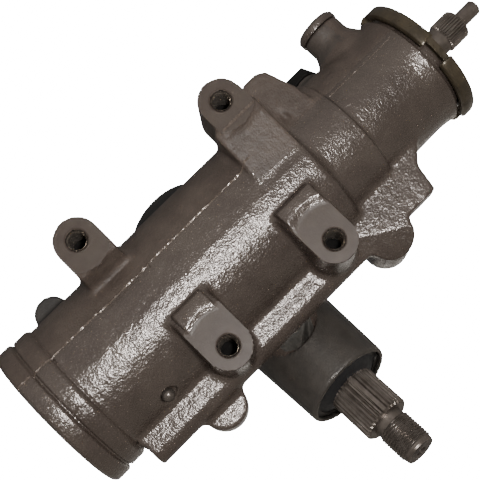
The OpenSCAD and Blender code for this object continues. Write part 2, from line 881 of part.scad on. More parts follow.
module ball_guide_clamp() {
    mid_x = (guide_x0 + guide_x1) / 2;
    strap_w = 10;
    foot_y = guide_y + guide_r;
    color(dark_steel)
        placed()
            difference() {
                union() {
                    ring_part_r = guide_r + 1.4;
                    translate([0, guide_y, 0])
                        rod_x(mid_x - strap_w / 2, mid_x + strap_w / 2, ring_part_r);
                    translate([mid_x - strap_w / 2, foot_y - 1.6, -guide_foot_half])
                        cube([strap_w, 1.6 - fit_gap, 2 * guide_foot_half]);
                    translate([mid_x - strap_w / 2, guide_y, -ring_part_r])
                        cube([strap_w, guide_r - fit_gap, 2 * ring_part_r]);
                }
                translate([0, guide_y, 0])
                    rod_x(mid_x - strap_w, mid_x + strap_w, guide_r + fit_gap);
                translate([mid_x - strap_w, guide_y, -guide_r - fit_gap])
                    cube([2 * strap_w, 3 * guide_r, 2 * (guide_r + fit_gap)]);
                translate([mid_x - strap_w, foot_y - fit_gap, -piston_r])
                    cube([2 * strap_w, 10, 2 * piston_r]);
                for (sz = [-1, 1])
                    rod_y(mid_x, sz * guide_screw_z, foot_y - 12, foot_y + 12, 1.7);
            }
}

module ball_guide_screws() {
    mid_x = (guide_x0 + guide_x1) / 2;
    foot_y = guide_y + guide_r;
    color(dark_steel)
        placed()
            for (sz = [-1, 1]) {
                rod_y(mid_x, sz * guide_screw_z, foot_y - 3, foot_y + 4.6, 1.55);
                rod_y(mid_x, sz * guide_screw_z, foot_y - 3.6, foot_y - 1.6, 2.6);
            }
}

module recirculating_balls() {
    color(bare_steel)
        placed() {
            for (i = [0 : ball_count]) {
                x = ball_x0 + i * (ball_x1 - ball_x0) / ball_count;
                turn = 360 * (x - worm_x0) / worm_lead;
                translate([x, ball_circle_r * sin(turn), -ball_circle_r * cos(turn)])
                    sphere(r = ball_r);
            }
            guide_balls = floor((guide_x1 - guide_x0) / ball_pitch) - 1;
            for (i = [0 : guide_balls])
                translate([(guide_x0 + guide_x1) / 2 + (i - guide_balls / 2) * ball_pitch, guide_y, 0])
                    sphere(r = ball_r);
        }
}

// Distance from the worm axis to its surface, for an angle away from the groove's centre
function groove_reach(angle) =
    let (along = worm_lead * angle / 360)
    abs(along) < groove_r
        ? min(worm_r, ball_circle_r - sqrt(groove_r * groove_r - along * along))
        : worm_r;

module worm_section() {
    half_angle = 0.98 * 360 * groove_r / worm_lead;
    groove_steps = 10;
    land_steps = 6;
    groove = [for (i = [0 : groove_steps]) half_angle * (2 * i / groove_steps - 1)];
    land = [for (i = [1 : land_steps - 1]) half_angle + (360 - 2 * half_angle) * i / land_steps];
    polygon([for (a = concat(groove, land)) groove_reach(a > 180 ? a - 360 : a) * [cos(a), sin(a)]]);
}

module worm_shaft() {
    slices_per_turn = 18;
    head_x1 = valve_x + worm_head_len;
    color(bare_steel)
        placed()
            union() {
                translate([worm_x0, 0, 0])
                    rotate([0, 90, 0])
                        linear_extrude(
                            worm_turns * worm_lead,
                            twist = -360 * worm_turns,
                            slices = worm_turns * slices_per_turn,
                            $fn = 16
                        )
                            worm_section();
                difference() {
                    union() {
                        rod_x(worm_x1, flange_x + cut, worm_journal_r);
                        rod_x(flange_x, valve_x, valve_bore_r - 3.5);
                        rod_x(valve_x - cut, head_x1, worm_head_r);
                    }
                    rod_x(flange_x - 12, head_x1 + cut, bar_end_r + fit_gap);
                    translate([head_x1 - tongue_len, -worm_head_r - cut, -tongue_slot / 2])
                        cube([tongue_len + cut, 2 * (worm_head_r + cut), tongue_slot]);
                    translate([flange_x - 5, 0, -worm_journal_r - cut])
                        cylinder(r = 1.5, h = 2 * (worm_journal_r + cut));
                }
            }
}

// Needle thrust bearing between two flat races
module thrust_races(x0, r_in, r_out) {
    for (x = [x0, x0 + race_t + roller_d])
        ring_x(x, x + race_t, r_in, r_out);
}

module thrust_rollers(x0, r_in, r_out) {
    rollers = 20;
    mid_x = x0 + race_t + roller_d / 2;
    ring_x(mid_x - 0.5, mid_x + 0.5, r_in, r_out);
    for (i = [0 : rollers - 1])
        rotate([360 * i / rollers, 0, 0])
            translate([mid_x, 0, r_in + 1])
                cylinder(r = roller_d / 2 - fit_gap, h = r_out - r_in - 2);
}

module worm_thrust_races() {
    color(bare_steel)
        placed()
            thrust_races(worm_seat_x, worm_journal_r + 0.4, valve_bore_r - 4);
}

module worm_thrust_bearing() {
    color(bearing_bronze)
        placed()
            thrust_rollers(worm_seat_x, worm_journal_r + 1, valve_bore_r - 5);
}

// Valve sleeve with three oil grooves between four ring lands
module valve_body() {
    color(bare_steel)
        placed()
            difference() {
                rod_x(valve_x, valve_end_x, valve_r);
                rod_x(valve_x - cut, valve_end_x + cut, worm_head_r + fit_gap);
                rod_x(valve_x + worm_head_len + 0.5, valve_end_x + cut, valve_bore_in_r);
                for (i = [0 : 3])
                    ring_x(valve_ring_x(i), valve_ring_x(i) + 2.2, valve_r - 2, valve_r + cut);
                for (i = [0 : 2]) {
                    groove_x0 = valve_ring_x(i) + 4.2;
                    groove_x1 = valve_ring_x(i + 1) - 2;
                    ring_x(groove_x0, groove_x1, valve_r - 2.6, valve_r + cut);
                    for (k = [0 : 3])
                        rotate([90 * k + 30 * i, 0, 0])
                            translate([(groove_x0 + groove_x1) / 2, 0, valve_bore_in_r - cut])
                                cylinder(r = 2.2, h = valve_r);
                }
                translate([valve_x + valve_pin_x, 0, -valve_r - cut])
                    cylinder(r = valve_pin_r, h = 2 * (valve_r + cut));
            }
}

// Station of each seal ring on the valve body
function valve_ring_x(i) = valve_x + 5 + i * (valve_len - 12.2) / 3;

module valve_body_rings() {
    color(seal_plastic)
        placed()
            for (i = [0 : 3])
                translate([valve_ring_x(i), 0, 0])
                    ring_x(0.1, 2.1, valve_r - 2 + fit_gap, valve_bore_r - run_gap);
}

module valve_body_pin() {
    color(dark_steel)
        placed()
            for (sz = [-1, 1])
                translate([valve_x + valve_pin_x, 0, sz > 0 ? worm_head_r + 0.1 : -valve_r + 0.3])
                    cylinder(r = valve_pin_r - fit_gap, h = valve_r - worm_head_r - 0.4);
}

// Spool with lengthwise oil slots, carried on the stub shaft
module valve_spool() {
    slots = 8;
    slot_w = 4;
    color(bare_steel)
        placed()
            difference() {
                ring_x(spool_x0, spool_x1, spool_bore_r, spool_r);
                for (i = [0 : slots - 1])
                    rotate([360 * i / slots + 22.5, 0, 0])
                        translate([spool_x0 + 6, -slot_w / 2, spool_r - 1.8])
                            cube([spool_x1 - spool_x0 - 12, slot_w, 4]);
                translate([spool_x1 - 4, 0, spool_bore_r - cut])
                    cylinder(r = 1.5, h = 10);
            }
}

module spool_drive_pin() {
    color(dark_steel)
        placed()
            translate([spool_x1 - 4, 0, stub_journal_r + 0.1])
                cylinder(r = 1.5 - fit_gap, h = spool_r - stub_journal_r - 0.5);
}

// Serrated outline: a round bar with evenly spaced V cuts, leaving wide lands a quarter turn apart
module serrated(r, count, depth, lands) {
    step = 360 / count;
    polygon([
        for (i = [0 : count - 1])
            let (
                a = i * step,
                master = lands && i % (count / 4) == 0
            )
            each master
                ? [r * [cos(a - step / 2), sin(a - step / 2)], r * [cos(a), sin(a)]]
                : [(r - depth) * [cos(a - step / 2), sin(a - step / 2)], r * [cos(a), sin(a)]]
    ]);
}

module stub_shaft() {
    color(dark_steel)
        placed()
            difference() {
                union() {
                    intersection() {
                        rod_x(stub_x0, stub_x0 + tongue_len + 2, tongue_w / 2);
                        translate([stub_x0, -tongue_w / 2, -tongue_t / 2])
                            cube([tongue_len + 2, tongue_w, tongue_t]);
                    }
                    rod_x(stub_x0 + tongue_len, neck_end_x + 8, stub_journal_r);
                    rod_x(spool_x0 + 2, spool_x0 + 8, stub_flange_r);
                    rod_x(spool_x1 - 7, spool_x1 - 1, stub_flange_r);
                    rod_x(neck_end_x + 7, serration_x0 + cut, stub_neck_r);
                    translate([serration_x0, 0, 0])
                        rotate([0, 90, 0])
                            linear_extrude(stub_serration_len)
                                serrated(stub_serration_r, stub_serration_count, 0.85, false);
                    turned_x([
                        [0, serration_x1 - cut],
                        [stub_tip_r, serration_x1 - cut],
                        [stub_tip_r, stub_end_x - 1.2],
                        [stub_tip_r - 1.2, stub_end_x],
                        [0, stub_end_x],
                    ]);
                }
                rod_x(stub_x0 - cut, bar_end_x + 0.5, bar_end_r + 0.2);
                translate([bar_end_x - 5, 0, -stub_serration_r - cut])
                    cylinder(r = 1.6, h = 2 * (stub_serration_r + cut));
                translate([spool_x1 - 4, 0, stub_journal_r])
                    cylinder(r = 1.5, h = 10);
            }
}

module torsion_bar() {
    bar_x0 = flange_x - 12;
    color(spring_steel)
        placed()
            turned_x([
                [0, bar_x0],
                [bar_end_r, bar_x0],
                [bar_end_r, bar_x0 + bar_end_len],
                [torsion_bar_r, bar_x0 + bar_end_len + 3],
                [torsion_bar_r, bar_end_x - bar_end_len - 3],
                [bar_end_r - 0.1, bar_end_x - bar_end_len],
                [bar_end_r - 0.1, bar_end_x],
                [0, bar_end_x],
            ]);
}

module torsion_bar_pin() {
    color(dark_steel)
        placed()
            for (sz = [0, 1])
                mirror([0, 0, sz])
                    translate([flange_x - 5, 0, bar_end_r + 0.1])
                        cylinder(r = 1.5 - fit_gap, h = worm_r - bar_end_r - 0.5);
}

// Adjuster plug that closes the neck and preloads the worm
module adjuster_plug() {
    spanner_holes = 4;
    color(dark_steel)
        placed()
            difference() {
                rod_x(adjuster_x, adjuster_end_x, adjuster_r - fit_gap);
                rod_x(adjuster_x - cut, adjuster_end_x + cut, stub_journal_r + 0.6);
                rod_x(stub_bearing_x - 0.2, adjuster_end_x + cut, seal_bore_stub_r);
                rod_x(stub_ring_x - fit_gap, stub_ring_x + stub_ring_t + fit_gap, seal_bore_stub_r + 1);
                ring_x(adjuster_x + 2, adjuster_x + 5, adjuster_r - 2.6, adjuster_r + cut);
                rod_x(adjuster_end_x - 2.5, adjuster_end_x + cut, seal_bore_stub_r + 6);
                for (i = [0 : spanner_holes - 1])
                    rotate([360 * i / spanner_holes + 45, 0, 0])
                        translate([0, 0, adjuster_r - 6])
                            rod_x(adjuster_end_x - 7, adjuster_end_x + cut, 3);
            }
}

module adjuster_plug_o_ring() {
    color(seal_rubber)
        placed()
            cord_ring_x(adjuster_x + 3.5, adjuster_r - 1.32, 1.2);
}

module adjuster_thrust_races() {
    color(bare_steel)
        placed()
            thrust_races(valve_end_x, stub_journal_r + 5, valve_bore_r - 4);
}

module adjuster_thrust_bearing() {
    color(bearing_bronze)
        placed()
            thrust_rollers(valve_end_x, stub_journal_r + 6, valve_bore_r - 5);
}

// Locknut with a rolled rim that overhangs the neck's open end
module adjuster_locknut() {
    edge = 2.2;
    corner = 0.64;
    lip = 1;
    notch_depth = locknut_rim + 0.7;
    notches = 4;
    web_x1 = neck_end_x + locknut_web;
    rim_x0 = web_x1 - locknut_rim_w;
    color(cast_paint)
        placed()
            difference() {
                rotate([0, 90, 0])
                    rotate_extrude()
                        polygon([
                            [adjuster_r, neck_end_x],
                            [locknut_r - locknut_rim, neck_end_x],
                            [locknut_r - locknut_rim, rim_x0 + lip],
                            [locknut_r - locknut_rim + lip, rim_x0],
                            [locknut_r - edge, rim_x0],
                            [locknut_r - corner, rim_x0 + corner],
                            [locknut_r, rim_x0 + edge],
                            [locknut_r, web_x1 - edge],
                            [locknut_r - corner, web_x1 - corner],
                            [locknut_r - edge, web_x1],
                            [adjuster_r, web_x1],
                        ]);
                for (i = [0 : notches - 1])
                    rotate([locknut_turn + 360 * i / notches, 0, 0])
                        translate([rim_x0 - cut, -locknut_notch / 2, locknut_r - notch_depth])
                            cube([locknut_rim_w + 2 * cut, locknut_notch, 2 * notch_depth]);
            }
}

// Needle bearing: pressed shell and a ring of needles, round local Z
module needle_bearing(shaft_r, shell_r, len, needles) {
    pitch_r = shaft_r + run_gap + needle_r;
    difference() {
        cylinder(r = shell_r, h = len);
        translate([0, 0, -cut])
            cylinder(r = pitch_r + needle_r + fit_gap, h = len + 2 * cut);
    }
    for (i = [0 : needles - 1])
        rotate([0, 0, 360 * i / needles])
            translate([pitch_r, 0, 0.6])
                cylinder(r = needle_r, h = len - 1.2);
}

module stub_needle_bearing() {
    color(bearing_bronze)
        placed()
            translate([stub_bearing_x, 0, 0])
                rotate([0, 90, 0])
                    needle_bearing(stub_journal_r, seal_bore_stub_r - fit_gap, bearing_w, 20);
}

module stub_seal() {
    color(seal_rubber)
        placed()
            difference() {
                translate([stub_seal_x, 0, 0])
                    ring_x(0, stub_seal_w, stub_journal_r + 0.1, seal_bore_stub_r - fit_gap);
                translate([stub_seal_x, 0, 0])
                    ring_x(-cut, 3.5, stub_journal_r + 1.2, seal_bore_stub_r - 1.4);
            }
}

module stub_dust_seal() {
    color(seal_rubber)
        placed()
            translate([dust_seal_x, 0, 0])
                ring_x(0, dust_seal_w, stub_journal_r + 0.1, seal_bore_stub_r - fit_gap);
}

module stub_retaining_ring() {
    color(spring_steel)
        placed()
            difference() {
                translate([stub_ring_x, 0, 0])
                    ring_x(0, stub_ring_t, stub_journal_r + 1.4, seal_bore_stub_r + 0.9);
                translate([stub_ring_x - cut, -3, 0])
                    cube([stub_ring_t + 2 * cut, 6, seal_bore_stub_r + 4]);
            }
}

// Half angle of a sector tooth at a radius, from the involute of the base circle
function flank_angle(r) = acos(min(1, sector_base_r / r));
function involute(a) = tan(a) * 180 / PI - a;
function tooth_half_angle(r) =
    90 / sector_full_teeth
    - backlash / 2 / sector_pitch_r * 180 / PI
    + involute(pressure_angle)
    - involute(flank_angle(r));

module sector_tooth() {
    steps = 6;
    radii = concat(
        [sector_root_r - 1],
        [for (i = [0 : steps]) sector_base_r + (sector_tip_r - sector_base_r) * i / steps]
    );
    flank = [for (r = radii) [r, tooth_half_angle(max(r, sector_base_r))]];
    polygon(concat(
        [for (p = flank) p[0] * [cos(p[1]), sin(p[1])]],
        [for (i = [len(flank) - 1 : -1 : 0]) flank[i][0] * [cos(flank[i][1]), -sin(flank[i][1])]]
    ));
}

module sector_shaft() {
    color(dark_steel)
        placed()
            difference() {
                union() {
                    translate([0, sector_y, -sector_half_w])
                        linear_extrude(2 * sector_half_w) {
                            circle(r = sector_root_r);
                            for (i = [0 : sector_teeth - 1])
                                rotate([0, 0, -90 + (i - (sector_teeth - 1) / 2) * 360 / sector_full_teeth])
                                    sector_tooth();
                        }
                    rod_z(journal_end_z, shaft_top_z, journal_r);
                    translate([0, sector_y, serration_z0 + 1.5])
                        linear_extrude(journal_end_z - serration_z0)
                            rotate(land_turn)
                                serrated(serration_r, serration_count, 1.3, true);
                    translate([0, sector_y, serration_z0])
                        cylinder(r1 = serration_r - 1.6, r2 = serration_r - 0.1, h = 1.5);
                    rod_z(serration_z0 - 2, serration_z0 + cut, arm_thread_r - 0.9);
                    rod_z(arm_tip_z + 1.2, serration_z0 - 2, arm_thread_r);
                    translate([0, sector_y, arm_tip_z])
                        cylinder(r1 = arm_thread_r - 1.4, r2 = arm_thread_r - 0.2, h = 1.2);
                }
                rod_z(arm_tip_z - cut, arm_tip_z + 9, 3);
                translate([0, 0, screw_head_z - free_gap])
                    lash_slot(screw_head_r + free_gap, screw_head_t + 2 * free_gap);
                translate([0, 0, screw_head_z])
                    lash_slot(screw_r + free_gap, shaft_top_z - screw_head_z + cut);
            }
}

// One step of the T slot across the shaft's top that the lash screw's head slides into
module lash_slot(half_w, h) {
    translate([0, sector_y, 0])
        cylinder(r = half_w, h = h);
    translate([0, sector_y - half_w, 0])
        cube([journal_r + cut, 2 * half_w, h]);
}

module sector_needle_bearing() {
    color(bearing_bronze)
        placed()
            translate([0, sector_y, sector_bearing_z0])
                needle_bearing(journal_r, bearing_bore_r - fit_gap, sector_bearing_len, 32);
}

module sector_inner_seal() {
    color(seal_rubber)
        placed()
            difference() {
                ring_z(inner_seal_z, seal_shelf_z, journal_r + 0.1, seal_bore_r - fit_gap);
                ring_z(inner_seal_z + 1.6, seal_shelf_z + cut, journal_r + 1.4, seal_bore_r - 1.8);
            }
}

module sector_outer_seal() {
    color(seal_rubber)
        placed()
            difference() {
                ring_z(outer_seal_z, washer_in_z, journal_r + 0.1, seal_bore_r - fit_gap);
                ring_z(outer_seal_z - cut, outer_seal_z + 1.4, journal_r + 1.6, seal_bore_r - 2);
            }
}

module sector_seal_washers() {
    color(bare_steel)
        placed()
            for (z = [washer_in_z, washer_out_z])
                ring_z(z, z + washer_t, journal_r + 0.5, seal_bore_r - fit_gap);
}

module sector_retaining_ring() {
    color(spring_steel)
        placed()
            difference() {
                translate([0, 0, sector_ring_z])
                    ring_z(0, sector_ring_t, seal_bore_r - 3.4, seal_bore_r + ring_seat);
                translate([0, sector_y - 5, sector_ring_z - cut])
                    cube([seal_bore_r + 4, 10, sector_ring_t + 2 * cut]);
            }
}

// Side cover with a spigot for the shaft's bushing and a hub for the lash screw
module side_cover() {
    color(cover_paint)
        placed()
            difference() {
                union() {
                    translate([0, 0, cover_face_z])
                        linear_extrude(cover_t)
                            cover_outline(11);
                    translate([0, sector_y, cover_top_z - cut])
                        cylinder(r1 = cover_hub_r + 4, r2 = cover_hub_r, h = cover_hub_h + cut);
                    rod_z(spigot_z, cover_face_z + cut, spigot_r);
                }
                rod_z(spigot_z - cut, cover_hub_z - nut_h - 5, bushing_r + fit_gap);
                rod_z(spigot_z - cut, cover_hub_z + cut, screw_r + fit_gap);
                rod_z(nut_seat_z, cover_hub_z + cut, nut_flats / sqrt(3) + 1.4);
                translate([0, 0, cover_face_z - cut])
                    at_cover_bolts()
                        cylinder(r = cover_bolt_r + 0.25, h = cover_t + 2 * cut);
            }
}

module side_cover_gasket() {
    color(gasket_fibre)
        placed()
            difference() {
                translate([0, 0, cover_z])
                    linear_extrude(gasket_t)
                        cover_outline(11);
                rod_z(cover_z - cut, cover_face_z + cut, chamber_r);
                translate([0, 0, cover_z - cut])
                    at_cover_bolts()
                        cylinder(r = cover_bolt_r + 0.25, h = gasket_t + 2 * cut);
            }
}

module side_cover_bushing() {
    color(bearing_bronze)
        placed()
            ring_z(spigot_z, shaft_top_z, journal_r + run_gap, bushing_r);
}

module side_cover_bolts() {
    color(cover_paint)
        placed()
            at_cover_bolts()
                union() {
                    translate([0, 0, bolt_tip_z])
                        cylinder(r = cover_bolt_r, h = cover_top_z - bolt_tip_z);
                    translate([0, 0, cover_top_z])
                        cylinder(r = 9.2, h = 1.4);
                    translate([0, 0, cover_top_z + 1.4])
                        hex_bar(bolt_head_flats, bolt_head_h - 1.4);
                }
}

module lash_adjuster_screw() {
    drive = 5;
    tip_z = cover_hub_z + 2.4;
    color(spring_steel)
        placed()
            difference() {
                union() {
                    rod_z(screw_head_z, screw_head_z + screw_head_t, screw_head_r);
                    rod_z(screw_head_z, tip_z, screw_r);
                }
                translate([0, sector_y, tip_z - 4])
                    hex_bar(drive, 4 + cut);
            }
}

module lash_adjuster_nut() {
    color(cover_paint)
        placed()
            translate([0, sector_y, nut_seat_z])
                difference() {
                    hex_bar(nut_flats, nut_h);
                    translate([0, 0, -cut])
                        cylinder(r = screw_r + fit_gap, h = nut_h + 2 * cut);
                }
}

// Brass cone seat pressed into the bottom of a hose port
module port_seat(face_z) {
    translate([0, 0, face_z - 14])
        difference() {
            union() {
                cylinder(r = port_r - fit_gap, h = 3);
                translate([0, 0, 3])
                    cylinder(r1 = port_r - 1.5, r2 = 4.2, h = 3);
            }
            translate([0, 0, -cut])
                cylinder(r = 3, h = 8 + cut);
        }
}

// Shipping plug screwed into a hose port
module port_plug(face_z) {
    translate([0, 0, face_z - 7.5])
        cylinder(r = port_r - fit_gap, h = 7.5);
    translate([0, 0, face_z])
        cylinder(r = port_plug_flats / 2 + 1, h = 1.6);
    translate([0, 0, face_z + 1.6])
        hex_bar(port_plug_flats, port_plug_h - 1.6);
}

module pressure_port_seat() {
    color(bearing_bronze)
        placed()
            at_pressure_port()
                port_seat(pressure_port_z);
}

module pressure_port_plug() {
    edge = 1.6;
    color(cast_paint)
        placed()
            at_pressure_port() {
                translate([0, 0, pressure_port_z - 7.5])
                    cylinder(r = port_r - fit_gap, h = 7.5 + cut);
                translate([0, 0, pressure_port_z])
                    cylinder(r = pressure_boss_r + 0.4, h = pressure_cap_h - edge);
                translate([0, 0, pressure_port_z + pressure_cap_h - edge])
                    cylinder(r1 = pressure_boss_r + 0.4, r2 = pressure_boss_r + 0.4 - edge, h = edge);
            }
}

module return_port_seat() {
    color(bearing_bronze)
        placed()
            at_return_port()
                port_seat(return_port_z);
}

module return_port_plug() {
    color(cover_paint)
        placed()
            at_return_port()
                port_plug(return_port_z);
}

housing();
passage_ball_plug();
end_plug();
end_plug_o_ring();
end_plug_retaining_ring();
rack_piston();
piston_ring();
piston_ring_o_ring();
rack_piston_plug();
ball_return_guide();
ball_guide_clamp();
ball_guide_screws();
recirculating_balls();
worm_shaft();
worm_thrust_races();
worm_thrust_bearing();
valve_body();
valve_body_rings();
valve_body_pin();
valve_spool();
spool_drive_pin();
stub_shaft();
torsion_bar();
torsion_bar_pin();
adjuster_plug();
adjuster_plug_o_ring();
adjuster_thrust_races();
adjuster_thrust_bearing();
adjuster_locknut();
stub_needle_bearing();
stub_seal();
stub_dust_seal();
stub_retaining_ring();
sector_shaft();
sector_needle_bearing();
sector_inner_seal();
sector_outer_seal();
sector_seal_washers();
sector_retaining_ring();
side_cover();
side_cover_gasket();
side_cover_bushing();
side_cover_bolts();
lash_adjuster_screw();
lash_adjuster_nut();
pressure_port_seat();
pressure_port_plug();
return_port_seat();
return_port_plug();
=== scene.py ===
"""Dresses the recirculating-ball steering gear in cast paint, turned steel, bronze and rubber.

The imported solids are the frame. The housing gets a moulded skin with cast fillets and parting flash, the
tapped holes and both shaft ends get true threads and serrations, and every other solid keeps its shape
and takes a finish.
"""
import json
import logging
import math
from dataclasses import dataclass, replace
from enum import Enum
from functools import cache
from typing import Mapping, Sequence

import bmesh
import bpy
import numpy as np
import openvdb
from mathutils import Matrix, Vector
from mathutils.bvhtree import BVHTree

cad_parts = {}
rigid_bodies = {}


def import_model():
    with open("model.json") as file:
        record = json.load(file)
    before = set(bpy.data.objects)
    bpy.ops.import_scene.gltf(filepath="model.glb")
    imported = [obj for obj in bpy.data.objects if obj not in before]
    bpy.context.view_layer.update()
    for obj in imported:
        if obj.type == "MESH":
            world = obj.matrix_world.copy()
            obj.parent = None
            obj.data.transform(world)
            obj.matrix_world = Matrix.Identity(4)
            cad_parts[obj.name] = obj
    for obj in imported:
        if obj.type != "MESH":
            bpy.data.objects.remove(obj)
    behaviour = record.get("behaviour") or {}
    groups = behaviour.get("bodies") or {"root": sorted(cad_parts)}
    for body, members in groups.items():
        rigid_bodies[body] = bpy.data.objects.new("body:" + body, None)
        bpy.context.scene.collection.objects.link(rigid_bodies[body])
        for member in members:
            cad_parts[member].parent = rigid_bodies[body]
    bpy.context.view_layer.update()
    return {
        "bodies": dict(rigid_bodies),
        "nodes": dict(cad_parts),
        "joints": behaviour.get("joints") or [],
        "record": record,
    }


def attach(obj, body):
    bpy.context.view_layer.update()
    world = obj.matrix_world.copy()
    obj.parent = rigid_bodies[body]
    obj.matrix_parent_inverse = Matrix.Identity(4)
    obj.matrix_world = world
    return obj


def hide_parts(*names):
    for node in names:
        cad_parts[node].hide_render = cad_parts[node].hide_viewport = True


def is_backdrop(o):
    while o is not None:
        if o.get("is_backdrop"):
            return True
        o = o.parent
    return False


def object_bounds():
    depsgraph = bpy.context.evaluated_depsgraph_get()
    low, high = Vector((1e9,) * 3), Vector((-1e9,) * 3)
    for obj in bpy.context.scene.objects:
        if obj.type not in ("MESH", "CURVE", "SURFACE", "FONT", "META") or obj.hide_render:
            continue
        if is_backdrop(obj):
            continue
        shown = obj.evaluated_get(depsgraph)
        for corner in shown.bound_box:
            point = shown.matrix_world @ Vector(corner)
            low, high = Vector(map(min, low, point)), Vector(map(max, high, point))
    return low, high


LOG = logging.getLogger("steering_gear")
MM = 0.001
WELD_M = 1e-6

Tree = bpy.types.NodeTree
Socket = bpy.types.NodeSocket
Mesh = bpy.types.Mesh
Object = bpy.types.Object
Pair = tuple[float, float]
Triple = tuple[float, float, float]
Numbers = tuple[float, ...]
Box = tuple[slice, ...]
Solid = tuple[np.ndarray, np.ndarray]


def linear(hex_colour: str) -> Numbers:
    """Turns an sRGB hex colour into linear RGBA.

    Args:
        hex_colour: Six hex digits after a hash sign.

    Returns:
        Linear red, green, blue and an alpha of one.
    """
    values = [int(hex_colour[i:i + 2], 16) / 255 for i in (1, 3, 5)]
    toe, slope, offset, power = 0.04045, 12.92, 0.055, 2.4
    bent = [v / slope if v <= toe else ((v + offset) / (1 + offset)) ** power for v in values]
    return (*bent, 1.0)


def per_metre(size_mm: float) -> float:
    """Gives a texture scale whose features are about size_mm across."""
    return 1 / (size_mm * MM)


def empty_tree(owner: bpy.types.Material | bpy.types.World) -> Tree:
    """Clears the node tree of a material or a world.

    Args:
        owner: The material or world.

    Returns:
        Its tree, with no nodes left.
    """
    owner.use_nodes = True
    owner.node_tree.nodes.clear()
    return owner.node_tree


def add_node(
    tree: Tree,
    kind: str,
    inputs: Mapping[str | int, object],
    **settings: object,
) -> bpy.types.Node:
    """Adds a shader node with its settings, values and links.

    Args:
        tree: The node tree that takes the node.
        kind: The node's type name.
        inputs: Socket name or index to a value, or to the output socket that feeds it.
        **settings: Properties of the node itself.

    Returns:
        The new node.
    """
    node = tree.nodes.new(kind)
    for name, value in settings.items():
        setattr(node, name, value)
    for key, value in inputs.items():
        if isinstance(value, Socket):
            tree.links.new(value, node.inputs[key])
        else:
            node.inputs[key].default_value = value
    return node


def noise(
    tree: Tree,
    place: Socket,
    size_mm: float,
    detail: float,
    roughness: float = 0.5,
) -> Socket:
    """Adds a noise to a node tree.

    Args:
        tree: The node tree.
        place: Object coordinates in metres.
        size_mm: Size of the features.
        detail: Octaves of finer noise.
        roughness: Share of each finer octave.

    Returns:
        The value's socket.
    """
    made = add_node(tree, "ShaderNodeTexNoise",
                    {"Vector": place, "Scale": per_metre(size_mm), "Detail": detail,
                     "Roughness": roughness})
    return made.outputs["Fac"]


def bumped(
    tree: Tree,
    height: Socket,
    depth_mm: float,
    normal: Socket | None = None,
) -> Socket:
    """Adds a bump, over an earlier normal where there is one.

    Args:
        tree: The node tree.
        height: Socket of the height.
        depth_mm: Height of the bump.
        normal: Socket of the normal below it.

    Returns:
        The normal's socket.
    """
    inputs: dict[str | int, object] = {"Height": height, "Distance": depth_mm * MM, "Strength": 1.0}
    if normal is not None:
        inputs["Normal"] = normal
    return add_node(tree, "ShaderNodeBump", inputs).outputs["Normal"]


class Lay(Enum):
    """Direction of the fine lines that a tool leaves on a metal."""

    NONE = "none"
    ALONG_X = "X"
    ALONG_Z = "Z"


@dataclass(frozen=True)
class Finish:
    """A surface finish: two colours that mottle, a roughness band and a grain that catches the light.

    Sizes are in millimetres. The lay lines are drawn as coarse as they need to be to show.
    """

    name: str
    colour: str
    shade: str
    metallic: float
    roughness: Pair
    mottle_mm: float = 14.0
    grain_mm: float = 0.8
    grain_depth_mm: float = 0.02
    lay: Lay = Lay.NONE
    lay_mm: float = 0.9
    lay_depth_mm: float = 0.01
    specular: float = 0.5
    speckle_grains: float = 3.0

    def relief(self, tree: Tree, place: Socket) -> Socket:
        """Builds the bumped normal.

        Args:
            tree: The material's node tree.
            place: Object coordinates in metres.

        Returns:
            The normal socket.
        """
        normal = bumped(tree, noise(tree, place, self.grain_mm, 2.0, 0.55), self.grain_depth_mm)
        if self.lay is Lay.NONE:
            return normal
        lines = add_node(tree, "ShaderNodeTexWave",
                         {"Vector": place, "Scale": per_metre(self.lay_mm) / math.tau, "Distortion": 0.6,
                          "Detail": 2.0, "Detail Scale": 2.0},
                         bands_direction=self.lay.value)
        return bumped(tree, lines.outputs["Fac"], self.lay_depth_mm, normal)

    def tone(self, tree: Tree, place: Socket) -> Socket:
        """Builds the mottled colour.

        Args:
            tree: The node tree.
            place: Object coordinates in metres.

        Returns:
            The colour's socket.
        """
        cloud = noise(tree, place, self.mottle_mm, 4.0, 0.6)
        ramp = add_node(tree, "ShaderNodeMapRange", {"Value": cloud, "From Min": 0.35, "From Max": 0.65})
        mix = add_node(tree, "ShaderNodeMix",
                       {"Factor": ramp.outputs["Result"], 6: linear(self.shade), 7: linear(self.colour)},
                       data_type="RGBA")
        return mix.outputs[2]

    @cache
    def material(self) -> bpy.types.Material:
        """Builds the material the first time, and gives the same one after that.

        Returns:
            The finished node material.
        """
        made = bpy.data.materials.new(self.name)
        tree = empty_tree(made)
        place = add_node(tree, "ShaderNodeTexCoord", {}).outputs["Object"]
        speckle = noise(tree, place, self.grain_mm * self.speckle_grains, 3.0)
        rough = add_node(tree, "ShaderNodeMapRange",
                         {"Value": speckle, "From Min": 0.3, "From Max": 0.7,
                          "To Min": self.roughness[0], "To Max": self.roughness[1]})
        shader = add_node(tree, "ShaderNodeBsdfPrincipled",
                          {"Base Color": self.tone(tree, place), "Metallic": self.metallic,
                           "Roughness": rough.outputs["Result"], "Normal": self.relief(tree, place),
                           "Specular IOR Level": self.specular})
        add_node(tree, "ShaderNodeOutputMaterial", {"Surface": shader.outputs["BSDF"]})
        return made


